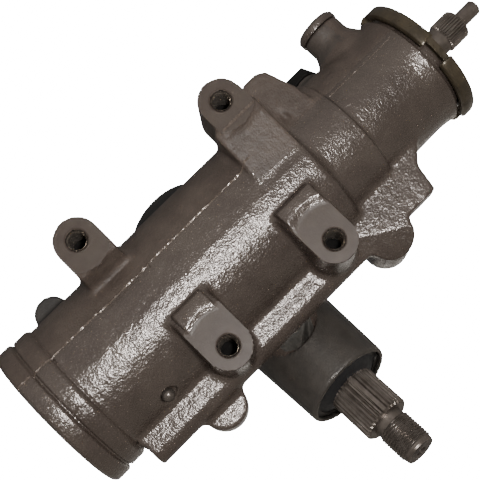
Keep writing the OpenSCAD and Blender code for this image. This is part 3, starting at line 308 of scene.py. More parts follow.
@dataclass(frozen=True)
class SandCastPaint(Finish):
    """Metallic paint over sand-cast iron: the sand's grain stays and breaks the highlight into sparks."""

    sand_mm: float = 1.7
    sand_depth_mm: float = 0.42
    swell_mm: float = 6.0
    swell_depth_mm: float = 0.5

    def relief(self, tree: Tree, place: Socket) -> Socket:
        """Layers the casting's slow swell, the sand grain and the paint's own grain.

        Args:
            tree: The node tree.
            place: Object coordinates in metres.

        Returns:
            The normal's socket.
        """
        normal: Socket | None = None
        layers = (
            (self.swell_mm, self.swell_depth_mm, 1.0),
            (self.sand_mm, self.sand_depth_mm, 1.5),
            (self.grain_mm, self.grain_depth_mm, 1.0),
        )
        for size, depth, detail in layers:
            normal = bumped(tree, noise(tree, place, size, detail), depth, normal)
        return normal


# Taupe metallic paint sprayed over a sand casting: brown-grey with hard sparks on the grain.
CAST_PAINT = SandCastPaint(
    "taupe_paint_on_sand_cast_iron", "#554b44", "#493f39", 0.4, (0.19, 0.31), mottle_mm=22.0,
    grain_mm=0.5, grain_depth_mm=0.05, specular=1.0, sand_mm=1.15, sand_depth_mm=0.28, swell_mm=5.0,
    swell_depth_mm=0.42)
# The same paint above the parting line, where it went on dry: matt brown with few sparks.
DRY_PAINT = SandCastPaint(
    "dry_taupe_paint_on_sand_cast_iron", "#534942", "#473e38", 0.0, (0.42, 0.54), mottle_mm=18.0,
    grain_mm=0.5, grain_depth_mm=0.04, specular=0.24, sand_mm=1.15, sand_depth_mm=0.26, swell_mm=4.0,
    swell_depth_mm=0.42)
# The same paint over milled faces: flat, so it shows its colour and few sparks.
MILLED_PAINT = SandCastPaint(
    "taupe_paint_on_milled_iron", "#4a413a", "#433a34", 0.05, (0.42, 0.5), mottle_mm=9.0, sand_mm=1.2,
    sand_depth_mm=0.05, swell_depth_mm=0.08, grain_depth_mm=0.02, specular=0.3)
# A thin dark coat on the shaft boss with finer grain and less sheen; its darkness is partly painted shade,
# where the boss stands back and turns from the light.
BOSS_COAT_AND_SHADE = SandCastPaint(
    "dark_paint_and_painted_shade_on_cast_boss", "#4a4540", "#3e3a36", 0.35, (0.32, 0.46), mottle_mm=12.0, sand_mm=1.0,
    sand_depth_mm=0.2, swell_depth_mm=0.2, grain_depth_mm=0.04)
# The same thin coat on the rear stub, darker yet as painted shade: it stands off the far side, in shadow.
STUB_SHADE = replace(
    BOSS_COAT_AND_SHADE, name="painted_shade_on_rear_stub", colour="#37332f", shade="#2d2a27", metallic=0.2,
    roughness=(0.38, 0.52))
# The dry coat on the hose port, a little darker than beside it as painted shade.
PORT_COAT_AND_SHADE = replace(
    BOSS_COAT_AND_SHADE, name="taupe_paint_and_painted_shade_on_hose_port", colour="#463e38", shade="#3b342f", metallic=0.0,
    roughness=(0.42, 0.54))
# The same paint on the torn edge of the parting line, lighter as a painted highlight where the edge catches
# the light.
FLASH_COAT_AND_HIGHLIGHT = SandCastPaint(
    "taupe_paint_and_painted_highlight_on_parting_flash", "#695d54", "#574c44", 0.35, (0.22, 0.32), mottle_mm=4.0,
    grain_depth_mm=0.05, sand_depth_mm=0.2)
# Cast iron bored on a machine: bare grey metal with tool lines.
BORED_IRON = Finish(
    "bored_cast_iron", "#77736d", "#625e59", 0.9, (0.3, 0.44), grain_depth_mm=0.012, lay=Lay.ALONG_X)
# Olive metallic paint on the pressed ring.
RING_PAINT = SandCastPaint(
    "olive_paint_on_turned_steel", "#4f4637", "#3c352a", 0.45, (0.26, 0.4), mottle_mm=10.0, sand_mm=1.1,
    sand_depth_mm=0.06, swell_depth_mm=0.1)
# Black paint on a die-cast cover: near black with a soft sheen.
BLACK_IRON = SandCastPaint(
    "black_paint_on_cast_iron", "#1d1b19", "#151413", 0.0, (0.36, 0.5), sand_depth_mm=0.16,
    swell_depth_mm=0.2)
# Black oxide on machined steel: near black with a metal's sheen.
BLACK_STEEL = Finish("black_oxide_on_steel", "#211f1d", "#171615", 0.7, (0.34, 0.5), grain_depth_mm=0.015)
# Phosphated forged steel: dark brown, satin.
BROWN_STEEL = Finish(
    "phosphate_on_forged_steel", "#7a716a", "#625a53", 0.8, (0.28, 0.44), mottle_mm=6.0,
    grain_depth_mm=0.02)
# Steel threads that were rolled and then painted over thinly: crests that glint.
THREAD_STEEL = Finish(
    "rolled_thread_in_painted_steel", "#706862", "#5a534d", 0.7, (0.2, 0.34), mottle_mm=5.0,
    grain_depth_mm=0.015)
# Threads tapped in the iron after painting: bright flanks.
TAPPED_IRON = Finish(
    "tapped_cast_iron", "#8d857c", "#746c64", 0.85, (0.18, 0.3), mottle_mm=4.0, grain_depth_mm=0.01)
# The blind end of a bolt hole: near black with almost no highlight, a painted shade for the deep hole's
# shadow.
HOLE_BOTTOM_SHADE = Finish(
    "painted_shade_in_hole_end", "#171513", "#100f0e", 0.0, (0.8, 0.9), grain_depth_mm=0.01, specular=0.1)
# Steel turned on a lathe along the worm axis: fine rings that spread the highlight.
TURNED_STEEL = Finish(
    "turned_steel", "#aaa59d", "#8d8982", 1.0, (0.22, 0.36), grain_depth_mm=0.008, lay=Lay.ALONG_X)
# Hardened bearing steel, ground and polished: bright and nearly a mirror.
BEARING_STEEL = Finish(
    "ground_bearing_steel", "#b9b6b0", "#a19d97", 1.0, (0.12, 0.22), grain_depth_mm=0.004)
# Oil-blackened spring steel: dark with a soft metal sheen.
SPRING_STEEL = Finish(
    "oil_blackened_spring_steel", "#3b3835", "#2a2826", 0.85, (0.3, 0.45), grain_depth_mm=0.01)
# Moulded nitrile rubber: black, with a dull bloom.
NITRILE = Finish("moulded_nitrile_rubber", "#1b1b1c", "#131314", 0.0, (0.5, 0.68), grain_depth_mm=0.02)
# Machined fluoropolymer: waxy off-white.
FLUOROPOLYMER = Finish(
    "machined_fluoropolymer", "#d8d2c4", "#c8c1b0", 0.0, (0.4, 0.55), grain_depth_mm=0.01)
# Pressed fibre sheet: dry and matt.
FIBRE = Finish(
    "pressed_fibre_sheet", "#5c5a4c", "#4a483d", 0.0, (0.7, 0.85), grain_mm=0.5, grain_depth_mm=0.04)
# Bored bronze: warm brown-yellow with tool lines.
BRONZE = Finish(
    "bored_bronze", "#a17c47", "#86653a", 1.0, (0.26, 0.4), grain_depth_mm=0.01, lay=Lay.ALONG_Z)
# Turned brass: yellow with fine rings.
BRASS = Finish(
    "turned_brass", "#bd9a55", "#a5843f", 1.0, (0.2, 0.34), grain_depth_mm=0.008, lay=Lay.ALONG_Z)

SLOT_FINISH: dict[str, Finish] = {
    "cast_paint": CAST_PAINT,
    "black_iron": BLACK_IRON,
    "black_steel": BLACK_STEEL,
    "brown_steel": BROWN_STEEL,
    "machined_steel": TURNED_STEEL,
    "bearing_steel": BEARING_STEEL,
    "spring_steel": SPRING_STEEL,
    "seal_rubber": NITRILE,
    "seal_plastic": FLUOROPOLYMER,
    "gasket_fibre": FIBRE,
    "bearing_bronze": BRONZE,
    "seat_brass": BRASS,
}
# Nodes that show from outside and have edges to break.
VISIBLE_NODES = (
    "adjuster_locknut", "adjuster_plug", "pressure_port_plug", "return_port_plug", "side_cover",
    "side_cover_bolts", "lash_adjuster_nut", "lash_adjuster_screw", "end_plug", "end_plug_retaining_ring",
    "stub_retaining_ring", "sector_retaining_ring",
)
# Nodes whose visible face wears something else than the rest of their slot, for the seal washers partly
# painted shade.
NODE_COAT_AND_SHADE: dict[str, Finish] = {
    "adjuster_locknut": RING_PAINT,
    "passage_ball_plug": THREAD_STEEL,
    # Black oxide, and painted shade: the washers sit deep in the boss's mouth, where shade falls.
    "sector_seal_washers": BLACK_STEEL,
}
# Finishes of the housing's skin, in the order of its material slots; some carry painted shade.
COATS = (CAST_PAINT, MILLED_PAINT, BOSS_COAT_AND_SHADE, BORED_IRON, DRY_PAINT, HOLE_BOTTOM_SHADE, STUB_SHADE, PORT_COAT_AND_SHADE)


def linked(name: str, data: bpy.types.ID) -> Object:
    """Makes an object of a mesh, a camera or a light, and links it to the scene.

    Args:
        name: The object's name.
        data: The mesh, camera or light.

    Returns:
        The new object.
    """
    made = bpy.data.objects.new(name, data)
    bpy.context.scene.collection.objects.link(made)
    return made


def new_object(
    name: str, mesh: Mesh, body: str, finish: Finish | None = None
) -> Object:
    """Links a mesh as a piece that rides on a body.

    Args:
        name: The piece's name.
        mesh: Its mesh, in the row frame in metres.
        body: The body that it rides on.
        finish: Its finish, where the mesh has no material yet.

    Returns:
        The new object.
    """
    if finish is not None:
        mesh.materials.append(finish.material())
    piece = linked(name, mesh)
    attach(piece, body)
    LOG.info("piece %s: %d faces", name, len(mesh.polygons))
    return piece


def node_solid(node: Object) -> Solid:
    """Reads a CAD node's mesh.

    Args:
        node: The node's object.

    Returns:
        Points in millimetres and triangles.
    """
    mesh = node.data
    mesh.calc_loop_triangles()
    points = np.empty(len(mesh.vertices) * 3, np.float32)
    mesh.vertices.foreach_get("co", points)
    corners = np.empty(len(mesh.loop_triangles) * 3, np.int32)
    mesh.loop_triangles.foreach_get("vertices", corners)
    return points.reshape(-1, 3) / MM, corners.reshape(-1, 3).astype(np.uint32)


def mesh_of(
    name: str, points_mm: np.ndarray, faces: Sequence[Sequence[int]], angle_deg: float | None = None
) -> Mesh:
    """Makes a welded, smooth-shaded mesh.

    Args:
        name: The mesh's name.
        points_mm: Points in millimetres.
        faces: Corners of each face.
        angle_deg: Angle above which an edge is hard, where any is.

    Returns:
        The mesh, in metres.
    """
    mesh = bpy.data.meshes.new(name)
    mesh.from_pydata((points_mm * MM).tolist(), [], faces)
    work = bmesh.new()
    work.from_mesh(mesh)
    bmesh.ops.remove_doubles(work, verts=work.verts, dist=WELD_M)
    bmesh.ops.recalc_face_normals(work, faces=work.faces)
    work.to_mesh(mesh)
    work.free()
    mesh.shade_smooth()
    if angle_deg is not None:
        mesh.set_sharp_from_angle(angle=math.radians(angle_deg))
    return mesh


@dataclass(frozen=True)
class Axis:
    """A straight line in the row frame, in millimetres."""

    origin: Triple
    along: Triple
    side: Triple = (1, 0, 0)
    least_mm: float = 1e-3

    @property
    def unit(self) -> np.ndarray:
        """The line's direction, one long."""
        return np.array(Vector(self.along).normalized())

    def stations(self, points: np.ndarray) -> tuple[np.ndarray, np.ndarray]:
        """Measures points against the line.

        Args:
            points: Points in millimetres, three to a row.

        Returns:
            The distance along the line and the distance away from it.
        """
        along = self.unit
        offset = points - np.array(self.origin)
        station = offset @ along
        return station, np.linalg.norm(offset - station[..., None] * along, axis=-1)

    def placed(self, local: np.ndarray) -> np.ndarray:
        """Puts local points into the row frame: side, then across, then along the line.

        Args:
            local: Points in millimetres, three to a row.

        Returns:
            The same points in the row frame.
        """
        along, side = Vector(self.along).normalized(), Vector(self.side)
        turn = np.array((side, along.cross(side), along))
        return local @ turn + np.array(self.origin)

    def moved(self, distance: float) -> "Axis":
        """Gives the same line with its origin moved along it."""
        start = np.array(self.origin) + distance * self.unit
        return replace(self, origin=tuple(float(v) for v in start))

    def narrowed(
        self, points: np.ndarray, span: Pair, over: float, core: float
    ) -> np.ndarray:
        """Turns a length of a shaft down to a core.

        Args:
            points: The shaft's points in millimetres.
            span: Where the length starts and ends along the line.
            over: Only points further from the line than this are moved.
            core: The radius that they are moved to.

        Returns:
            The points, with those of the length moved in.
        """
        station, away = self.stations(points)
        chosen = (station > span[0]) & (station < span[1]) & (away > over)
        foot = np.array(self.origin) + station[:, None] * self.unit
        closer = foot + (points - foot) * (core / np.maximum(away, self.least_mm))[:, None]
        return np.where(chosen[:, None], closer, points)


LEAN = math.radians(19)
WORM_MM = (-1.05, 51.2, -51.5)
SECTOR_OUT_MM = 49.5
WORM_AXIS = Axis(WORM_MM, (1, 0, 0), (0, 1, 0))
SECTOR_AXIS = Axis((WORM_MM[0], WORM_MM[1] + SECTOR_OUT_MM * math.cos(LEAN),
                    WORM_MM[2] - SECTOR_OUT_MM * math.sin(LEAN)),
                   (0, -math.sin(LEAN), -math.cos(LEAN)))
FRAME_HOLES: dict[str, Pair] = {
    "upper_front": (53.35, 0.0),
    "upper_rear": (-53.35, 0.0),
    "lower_front": (41.25, -95.6),
    "lower_rear": (-36.55, -95.6),
}


@dataclass(frozen=True)
class Shoulder:
    """The edge of a spot face on a lug, where the casting beyond stands proud of the milled face."""

    width_mm: float
    height_mm: float
    half_width_mm: float
    start_mm: float = 19.4
    fall: float = 0.1
    bend: float = 1.5
    root_mm: float = 6.0
    reach_mm: float = 31.0
    depth_mm: float = 16.0
    draft: float = 0.3
    # Half the window's width, its ends in y, and how far it runs past the reach.
    window_mm: Numbers = (16.0, -4.0, 18.0, 6.0)


SHOULDERS: dict[str, Shoulder] = {
    "lower_front": Shoulder(5.4, 1.9, 11.9),
    "lower_rear": Shoulder(4.0, 1.4, 10.2),
}


@dataclass
class Block:
    """The box of voxels that the housing's skin is worked in.

    The surface holds each voxel's distance to the skin in millimetres, negative inside the iron.
    """

    corner: np.ndarray
    surface: np.ndarray
    voxel_mm: float

    def __post_init__(self) -> None:
        """Measures where the voxels lie: along x, y and z, and as points of one section across x."""
        self.x, self.y, self.z = self.places((0, 0, 0), self.surface.shape)
        grid = np.meshgrid([WORM_MM[0]], self.y.ravel(), self.z, indexing="ij")
        self.section = np.stack(grid, axis=-1)[0]

    def places(self, first: Sequence[int], last: Sequence[int]) -> tuple[np.ndarray, ...]:
        """Gives the x, y and z of a box of voxels in millimetres, shaped to broadcast."""
        x, y, z = ((np.arange(a, b) + c) * self.voxel_mm for a, b, c in zip(first, last, self.corner))
        return x[:, None, None], y[:, None], z

    def window(
        self, low: Sequence[float], high: Sequence[float]
    ) -> tuple[Box, np.ndarray, np.ndarray, np.ndarray]:
        """Picks the voxels of a small box.

        Args:
            low: The box's low corner in millimetres.
            high: The box's high corner in millimetres.

        Returns:
            The box's slices, and its x, y and z shaped to broadcast.
        """
        first = [math.floor(a / self.voxel_mm) - int(c) for a, c in zip(low, self.corner)]
        last = [math.ceil(a / self.voxel_mm) - int(c) for a, c in zip(high, self.corner)]
        return tuple(slice(a, b) for a, b in zip(first, last)), *self.places(first, last)

    def join(self, box: Box, distance: np.ndarray) -> None:
        """Adds a shape, given by its distance in a window, to the iron."""
        self.surface[box] = np.minimum(self.surface[box], distance)

    def cut(self, box: Box, distance: np.ndarray) -> None:
        """Takes a shape, given by its distance in a window, out of the iron."""
        self.surface[box] = np.maximum(self.surface[box], -distance)


@dataclass
class CastHousing:
    """The housing as it comes out of the mould: concave corners filled, edges rounded off.

    What a machine has cut since, the bores, the rear rim and the step of the neck, stays crisp.
    """

    voxel_mm: float = 0.85
    facets: int = 170_000
    fillet_mm: float = 2.4
    edge_mm: float = 0.8
    margin_mm: float = 5.0
    band_voxels: int = 3
    blend_mm: float = 1.0
    # Machined places: rim, bores, neck step, sector chamber, lug faces and bolt holes.
    rim_width_mm: float = 24.6
    bore_mm: float = 40.2
    bore_end_mm: float = 69.0
    valve_bore_mm: float = 33.0
    step_mm: float = 98.4
    step_reach_mm: float = 3.0
    seal_bore_mm: float = 25.9
    chamber_mm: float = 36.0
    chamber_end_mm: float = 24.0
    milled_mm: float = 0.35
    milled_reach_mm: float = 1.3
    hole_reach_mm: float = 8.0
    # The bolt holes' inside, which takes painted shade: its radius, and where it starts and ends in y.
    hole_shade_mm: float = 5.9
    hole_shade_span_mm: Pair = (0.5, 30.0)
    # The boss, whose dark coat is partly painted shade, and its pocket's offset, station, radius, flat and
    # top.
    boss_start_mm: float = 47.0
    boss_mm: float = 32.0
    boss_skin_mm: float = 30.2
    pocket_mm: Numbers = (-1.6, 44.4, 19.1, 24.4, 48.0)
    pocket_edge_mm: float = 0.5
    # Station, height and radius of each crease of the rim.
    rim_creases_mm: tuple[Triple, ...] = ((-117.6, 45.9, 0.75), (-105.3, 44.7, 0.65))
    # The ball's recess: station, radius, floor and the way that it faces.
    ball_recess_mm: Triple = (-75.5, 5.1, 42.7)
    ball_angle_deg: float = -57.4
    # The neck's flare: start, end, radius and rise.
    flare_mm: Numbers = (139.0, 152.8, 36.3, 1.7)
    flare_spare_mm: Pair = (1.0, 2.0)
    neck_wall_mm: float = 33.9
    # The lower cover lobe: window, top of its slope, way down, steepness, floor and room for the lug.
    lobe_window_mm: tuple[Numbers, ...] = ((44.0, 30.0, -132.0), (92.0, 54.0, -97.0))
    lobe_top_mm: Triple = (57.0, 35.2, -100.0)
    lobe_down: Pair = (-0.53, -0.848)
    lobe_fall: float = 0.55
    lobe_floor_mm: float = 31.5
    lobe_clear_mm: float = 15.0
    # The upper rear lug: window about its hole, where its wall stands, the wall's draft and its foot.
    rear_lug_window_mm: tuple[Numbers, ...] = ((-18.0, -3.0, -50.0), (18.0, 34.0, -17.0))
    rear_lug_mm: float = 20.0
    rear_lug_draft: float = 0.25
    rear_lug_foot_mm: float = 44.6
    # The bolt holes' mouths: radius, depth, and half the window's width and height.
    mouth_mm: float = 6.6
    mouth_depth_mm: float = 1.5
    mouth_window_mm: Pair = (9.0, 3.0)
    # Where the dry paint starts, with the foot of the front ramp, and where the stubs stand, which take
    # painted shade.
    parting_mm: float = -34.0
    ramp_foot_mm: Triple = (38.0, 67.0, -45.0)
    rear_stub_shade_mm: Triple = (-104.0, -78.0, -6.8)
    hose_port_shade_mm: Triple = (96.0, 136.0, -14.0)

    def level_set(self, solid: Solid, reach_mm: float) -> openvdb.FloatGrid:
        """Measures the distance to a closed surface.

        Args:
            solid: Points in millimetres and triangles or quads.
            reach_mm: How far from the surface the distance has to be right.

        Returns:
            The signed distance grid, in millimetres.
        """
        points, faces = solid
        scale = openvdb.createLinearTransform(voxelSize=self.voxel_mm)
        sides = {"triangles": faces} if faces.shape[1] == 3 else {"quads": faces}
        return openvdb.FloatGrid.createLevelSetFromPolygons(
            points.astype(np.float32), transform=scale,
            halfWidth=reach_mm / self.voxel_mm + self.band_voxels, **sides)

    def moved_out(self, solid: Solid, distance_mm: float) -> Solid:
        """Moves a surface out by a distance, or in where the distance is negative."""
        return self.level_set(solid, abs(distance_mm)).convertToQuads(isovalue=distance_mm)

    def moulded(self, solid: Solid) -> Solid:
        """Fills the concave corners and rounds the edges, as a mould does."""
        filled = self.moved_out(self.moved_out(solid, self.fillet_mm), -self.fillet_mm)
        return self.moved_out(self.moved_out(filled, -self.edge_mm), self.edge_mm)

    def bore_at(self, x: np.ndarray) -> np.ndarray:
        """Gives the radius inside which all is bored, at places along the worm."""
        return np.where(x < self.bore_end_mm, self.bore_mm, self.valve_bore_mm)

    def machined_share(self, block: Block) -> np.ndarray:
        """Tells where the machined surface holds.

        Args:
            block: The voxels.

        Returns:
            One where it holds, zero where the moulded one does.
        """
        x, y, z = block.x, block.y, block.z
        rear = x.min() + self.margin_mm
        _, from_worm = WORM_AXIS.stations(block.section)
        station, across = SECTOR_AXIS.stations(block.section)
        from_sector = np.sqrt(across ** 2 + (x - WORM_MM[0]) ** 2)
        bored = np.where(station < self.chamber_end_mm, self.chamber_mm, self.seal_bore_mm)
        inside = bored - from_sector
        inside = np.maximum(inside, self.bore_at(x) - from_worm)
        flat = np.maximum(rear + self.rim_width_mm - x, self.step_reach_mm - np.abs(x - self.step_mm))
        inside = np.maximum(inside, flat)
        inside = np.maximum(inside, self.milled_reach_mm - y)
        for hole_x, hole_z in FRAME_HOLES.values():
            inside = np.maximum(inside, self.hole_reach_mm - np.hypot(x - hole_x, z - hole_z))
        return np.clip(inside / self.blend_mm + 0.5, 0, 1).astype(np.float32)

    def boss_pocket(self, block: Block) -> np.ndarray:
        """Measures the round-ended flat on the boss, under the flange.

        Args:
            block: The voxels.

        Returns:
            The distance to the pocket, negative inside it.
        """
        side, station_at, radius, flat, top = self.pocket_mm
        station, _ = SECTOR_AXIS.stations(block.section)
        front = np.array((0, -math.cos(LEAN), math.sin(LEAN)))
        depth = (block.section - np.array(SECTOR_AXIS.origin)) @ front
        aside = block.x - WORM_MM[0]
        ring = np.sqrt((aside - side) ** 2 + (station - station_at) ** 2) - radius
        skin_deep = np.sqrt(aside ** 2 + depth ** 2) - self.boss_skin_mm
        return np.maximum(np.maximum(ring, skin_deep), np.maximum(flat - depth, top - station))

    def turned_cuts(self, block: Block) -> np.ndarray:
        """Measures the two creases of the rear rim and the recess round the passage ball.

        Args:
            block: The voxels.

        Returns:
            The distance to the nearest cut, negative inside it.
        """
        _, from_worm = WORM_AXIS.stations(block.section)
        at_x, radius, floor = self.ball_recess_mm
        slope = math.radians(self.ball_angle_deg)
        out = np.array((0, -math.cos(slope), math.sin(slope)))
        height = (block.section - np.array(WORM_MM)) @ out
        aside = np.sqrt(np.maximum(from_worm ** 2 - height ** 2, 0))
        cut = np.maximum(np.hypot(block.x - at_x, aside) - radius, floor - height)
        for crease_x, crease_r, radius in self.rim_creases_mm:
            cut = np.minimum(cut, np.hypot(block.x - crease_x, from_worm - crease_r) - radius)
        return cut

    def raise_shoulders(self, block: Block) -> None:
        """Raises the casting beyond the spot faces of the lower lugs.

        Args:
            block: The voxels, changed in place.
        """
        for place, edge in SHOULDERS.items():
            hole_x, hole_z = FRAME_HOLES[place]
            half, low, high, spare = edge.window_mm
            box, x, y, z = block.window(
                (hole_x - half, low, hole_z), (hole_x + half, high, hole_z + (edge.reach_mm + spare)))
            run = z - hole_z
            past = np.hypot(x - hole_x, z - hole_z) - edge.start_mm
            climb = edge.height_mm * np.clip(past / edge.width_mm, 0, 1) ** edge.bend
            top = edge.fall * np.maximum(past - edge.width_mm, 0) - climb
            sides = np.maximum(np.abs(x - hole_x) - edge.half_width_mm, edge.root_mm - run)
            ends_at = np.maximum(run - edge.reach_mm - edge.draft * y, y - edge.depth_mm)
            block.join(box, np.maximum(np.maximum(top - y, sides), ends_at))

    def flare_neck(self, block: Block) -> None:
        """Widens the neck's end towards the ring.

        Args:
            block: The voxels, changed in place.
        """
        start, end, radius, rise = self.flare_mm
        spare_along, spare_out = self.flare_spare_mm
        _, mid_y, mid_z = WORM_MM
        reach = radius + rise + spare_out
        box, x, y, z = block.window((start - spare_along, mid_y - reach, mid_z - reach),
                                    (end + spare_along, mid_y + reach, mid_z + reach))
        from_worm = np.hypot(y - mid_y, z - mid_z)
        over = from_worm - radius - rise * (np.clip(x - start, 0, None) / (end - start)) ** 2
        wall = np.maximum(over, self.neck_wall_mm - from_worm)
        block.join(box, np.maximum(wall, np.maximum(start - x, x - end)))

    def slope_lobe(self, block: Block) -> None:
        """Slopes the front of the lower cover lobe away from the web beside it.

        Args:
            block: The voxels, changed in place.
        """
        box, x, y, z = block.window(*self.lobe_window_mm)
        top_x, top_y, top_z = self.lobe_top_mm
        down_x, down_z = self.lobe_down
        fallen = down_x * (x - top_x) + down_z * (z - top_z)
        over = (y - top_y - self.lobe_fall * fallen) / math.hypot(1, self.lobe_fall)
        lug_x, lug_z = FRAME_HOLES["lower_front"]
        clear = self.lobe_clear_mm - np.hypot(x - lug_x, z - lug_z)
        block.cut(box, np.maximum(np.maximum(over, self.lobe_floor_mm - y), np.maximum(-fallen, clear)))

    def trim_lugs(self, block: Block) -> None:
        """Ends the upper rear lug in a steep wall over the cylinder, and opens the bolt holes' mouths.

        Args:
            block: The voxels, changed in place.
        """
        lug_x, lug_z = FRAME_HOLES["upper_rear"]
        low, high = ((lug_x + a, b, lug_z + c) for a, b, c in self.rear_lug_window_mm)
        box, _, y, z = block.window(low, high)
        from_worm = np.hypot(y - WORM_MM[1], z - WORM_MM[2])
        wall = self.rear_lug_mm + y * self.rear_lug_draft - (lug_z - z)
        block.cut(box, np.maximum(wall, self.rear_lug_foot_mm - from_worm))
        half, height = self.mouth_window_mm
        for hole_x, hole_z in FRAME_HOLES.values():
            box, x, y, z = block.window(
                (hole_x - half, -height, hole_z - half), (hole_x + half, height, hole_z + half))
            cone = np.hypot(x - hole_x, z - hole_z) + y - self.mouth_mm
            block.cut(box, np.maximum(cone / math.sqrt(2), y - self.mouth_depth_mm))

    def skin(self, solid: Solid) -> Solid:
        """Joins the moulded surface and the machined one, then adds and cuts the casting's small forms.

        Args:
            solid: The machined solid.

        Returns:
            The skin's points and quads.
        """
        low = solid[0].min(axis=0) - self.margin_mm
        high = solid[0].max(axis=0) + self.margin_mm
        corner = np.floor(low / self.voxel_mm).astype(int)
        first = tuple(int(c) for c in corner)
        shape = np.ceil(high / self.voxel_mm).astype(int) - corner
        machined, moulded = np.zeros(shape, np.float32), np.zeros(shape, np.float32)
        self.level_set(solid, self.voxel_mm).copyToArray(machined, ijk=first)
        self.level_set(self.moulded(solid), self.voxel_mm).copyToArray(moulded, ijk=first)
        block = Block(corner, moulded, self.voxel_mm)
        block.surface = moulded + self.machined_share(block) * (machined - moulded)
        for work in (self.raise_shoulders, self.flare_neck, self.slope_lobe, self.trim_lugs):
            work(block)
        reach = float(machined.max())
        surface = block.surface
        for cut in (self.boss_pocket, self.turned_cuts):
            surface = np.minimum(np.maximum(surface, -cut(block)), reach).astype(np.float32)
        joined = openvdb.FloatGrid(reach)
        joined.copyFromArray(surface, ijk=first)
        joined.transform = openvdb.createLinearTransform(voxelSize=self.voxel_mm)
        return joined.convertToQuads(isovalue=0.0)

    def thinned(self, mesh: Mesh) -> Mesh:
        """Takes out the faces that flat places don't need.

        Args:
            mesh: The dense skin.

        Returns:
            The thinned skin.
        """
        dense = linked("dense_skin", mesh)
        thin = dense.modifiers.new("thin", "DECIMATE")
        thin.ratio = min(1.0, self.facets / (2 * len(mesh.polygons)))
        graph = bpy.context.evaluated_depsgraph_get()
        made = bpy.data.meshes.new_from_object(dense.evaluated_get(graph), depsgraph=graph)
        bpy.data.objects.remove(dense)
        made.name = "cast_housing"
        return made

    def paint(self, mesh: Mesh) -> None:
        """Paints the casting, its dry side, the milled lug faces, the bosses, the bores and the bolt holes,
        with painted shade on the shaft boss, the rear stub, the hose port and the bolt holes' insides.

        Args:
            mesh: The skin's mesh.
        """
        for finish in COATS:
            mesh.materials.append(finish.material())
        centres = np.empty(len(mesh.polygons) * 3, np.float32)
        mesh.polygons.foreach_get("center", centres)
        centres = centres.reshape(-1, 3) / MM
        x, y, z = centres.T
        station, from_sector = SECTOR_AXIS.stations(centres)
        _, from_worm = WORM_AXIS.stations(centres)
        rules = [(z > self.parting_mm, DRY_PAINT)]
        # The rear stub and the hose port are darkened with painted shade.
        for (start, end, low), finish in (
                (self.ramp_foot_mm, DRY_PAINT), (self.rear_stub_shade_mm, STUB_SHADE),
                (self.hose_port_shade_mm, PORT_COAT_AND_SHADE)):
            rules.append(((x > start) & (x < end) & (z > low), finish))
        rules.append((np.abs(y) < self.milled_mm, MILLED_PAINT))
        side, station_at, radius, _, _ = self.pocket_mm
        from_pocket = np.hypot(x - WORM_MM[0] - side, station - station_at)
        pocket = (from_pocket < radius + self.pocket_edge_mm) & (y < SECTOR_AXIS.origin[1])
        # The boss's dark coat is partly painted shade; the pocket keeps the casting's paint.
        rules.append(((station > self.boss_start_mm) & (from_sector < self.boss_mm) & ~pocket, BOSS_COAT_AND_SHADE))
        rules.append(((from_worm < self.bore_at(x)) | (from_sector < self.seal_bore_mm), BORED_IRON))
        # The inside of each bolt hole, past its mouth, is painted shade.
        mouth, end = self.hole_shade_span_mm
        for hole_x, hole_z in FRAME_HOLES.values():
            hole_shade_mask = np.hypot(x - hole_x, z - hole_z) < self.hole_shade_mm
            rules.append((hole_shade_mask & (y > mouth) & (y < end), HOLE_BOTTOM_SHADE))
        coat = np.full(len(centres), COATS.index(CAST_PAINT), np.int32)
        for where, finish in rules:
            coat[where] = COATS.index(finish)
        mesh.polygons.foreach_set("material_index", coat)
        mesh.polygons.foreach_set("use_smooth", coat != COATS.index(MILLED_PAINT))

    def build(self, node: Object) -> Object:
        """Builds the skin over the CAD housing and dresses it.

        Args:
            node: The CAD housing.

        Returns:
            The skin.
        """
        points, quads = self.skin(node_solid(node))
        mesh = self.thinned(mesh_of("dense_skin", points, quads.tolist()))
        mesh.materials.clear()
        mesh.shade_smooth()
        self.paint(mesh)
        skin = new_object("cast_housing", mesh, "housing")
        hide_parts("housing")
        return skin


def full_turn(sides: int) -> np.ndarray:
    """Gives the angles of a ring's points."""
    return np.arange(sides) * 2 * math.pi / sides


def sleeve(
    name: str, axis: Axis, radius: np.ndarray, angle: np.ndarray, along: np.ndarray, hard_deg: float
) -> Mesh:
    """Skins rings of points that stand along a line.

    Args:
        name: The mesh's name.
        axis: The line.
        radius: Each point's distance from the line in millimetres, ring by ring.
        angle: Where the points of a ring stand round the line.
        along: Where the rings stand along the line.
        hard_deg: Angle above which an edge is hard.

    Returns:
        The mesh.
    """
    count, sides = radius.shape
    stations = np.broadcast_to(along[:, None], radius.shape)
    rings = np.stack([radius * np.cos(angle[None]), radius * np.sin(angle[None]), stations], axis=-1)
    faces = []
    for ring in range(count - 1):
        near, far = ring * sides, (ring + 1) * sides
        for side in range(sides):
            step = (side + 1) % sides
            faces.append((near + side, near + step, far + step, far + side))
    return mesh_of(name, axis.placed(rings.reshape(-1, 3)), faces, hard_deg)


def revolved(
    name: str, axis: Axis, profile_mm: Sequence[Pair], sides: int, hard_deg: float
) -> Mesh:
    """Turns a profile, given as radii and stations, round a line.

    Args:
        name: The mesh's name.
        axis: The line.
        profile_mm: Radius and station of each corner.
        sides: Points in a ring.
        hard_deg: Angle above which an edge is hard.

    Returns:
        The mesh.
    """
    profile = np.array(profile_mm)
    radius = np.broadcast_to(profile[:, :1], (len(profile), sides))
    return sleeve(name, axis, radius, full_turn(sides), profile[:, 1], hard_deg)


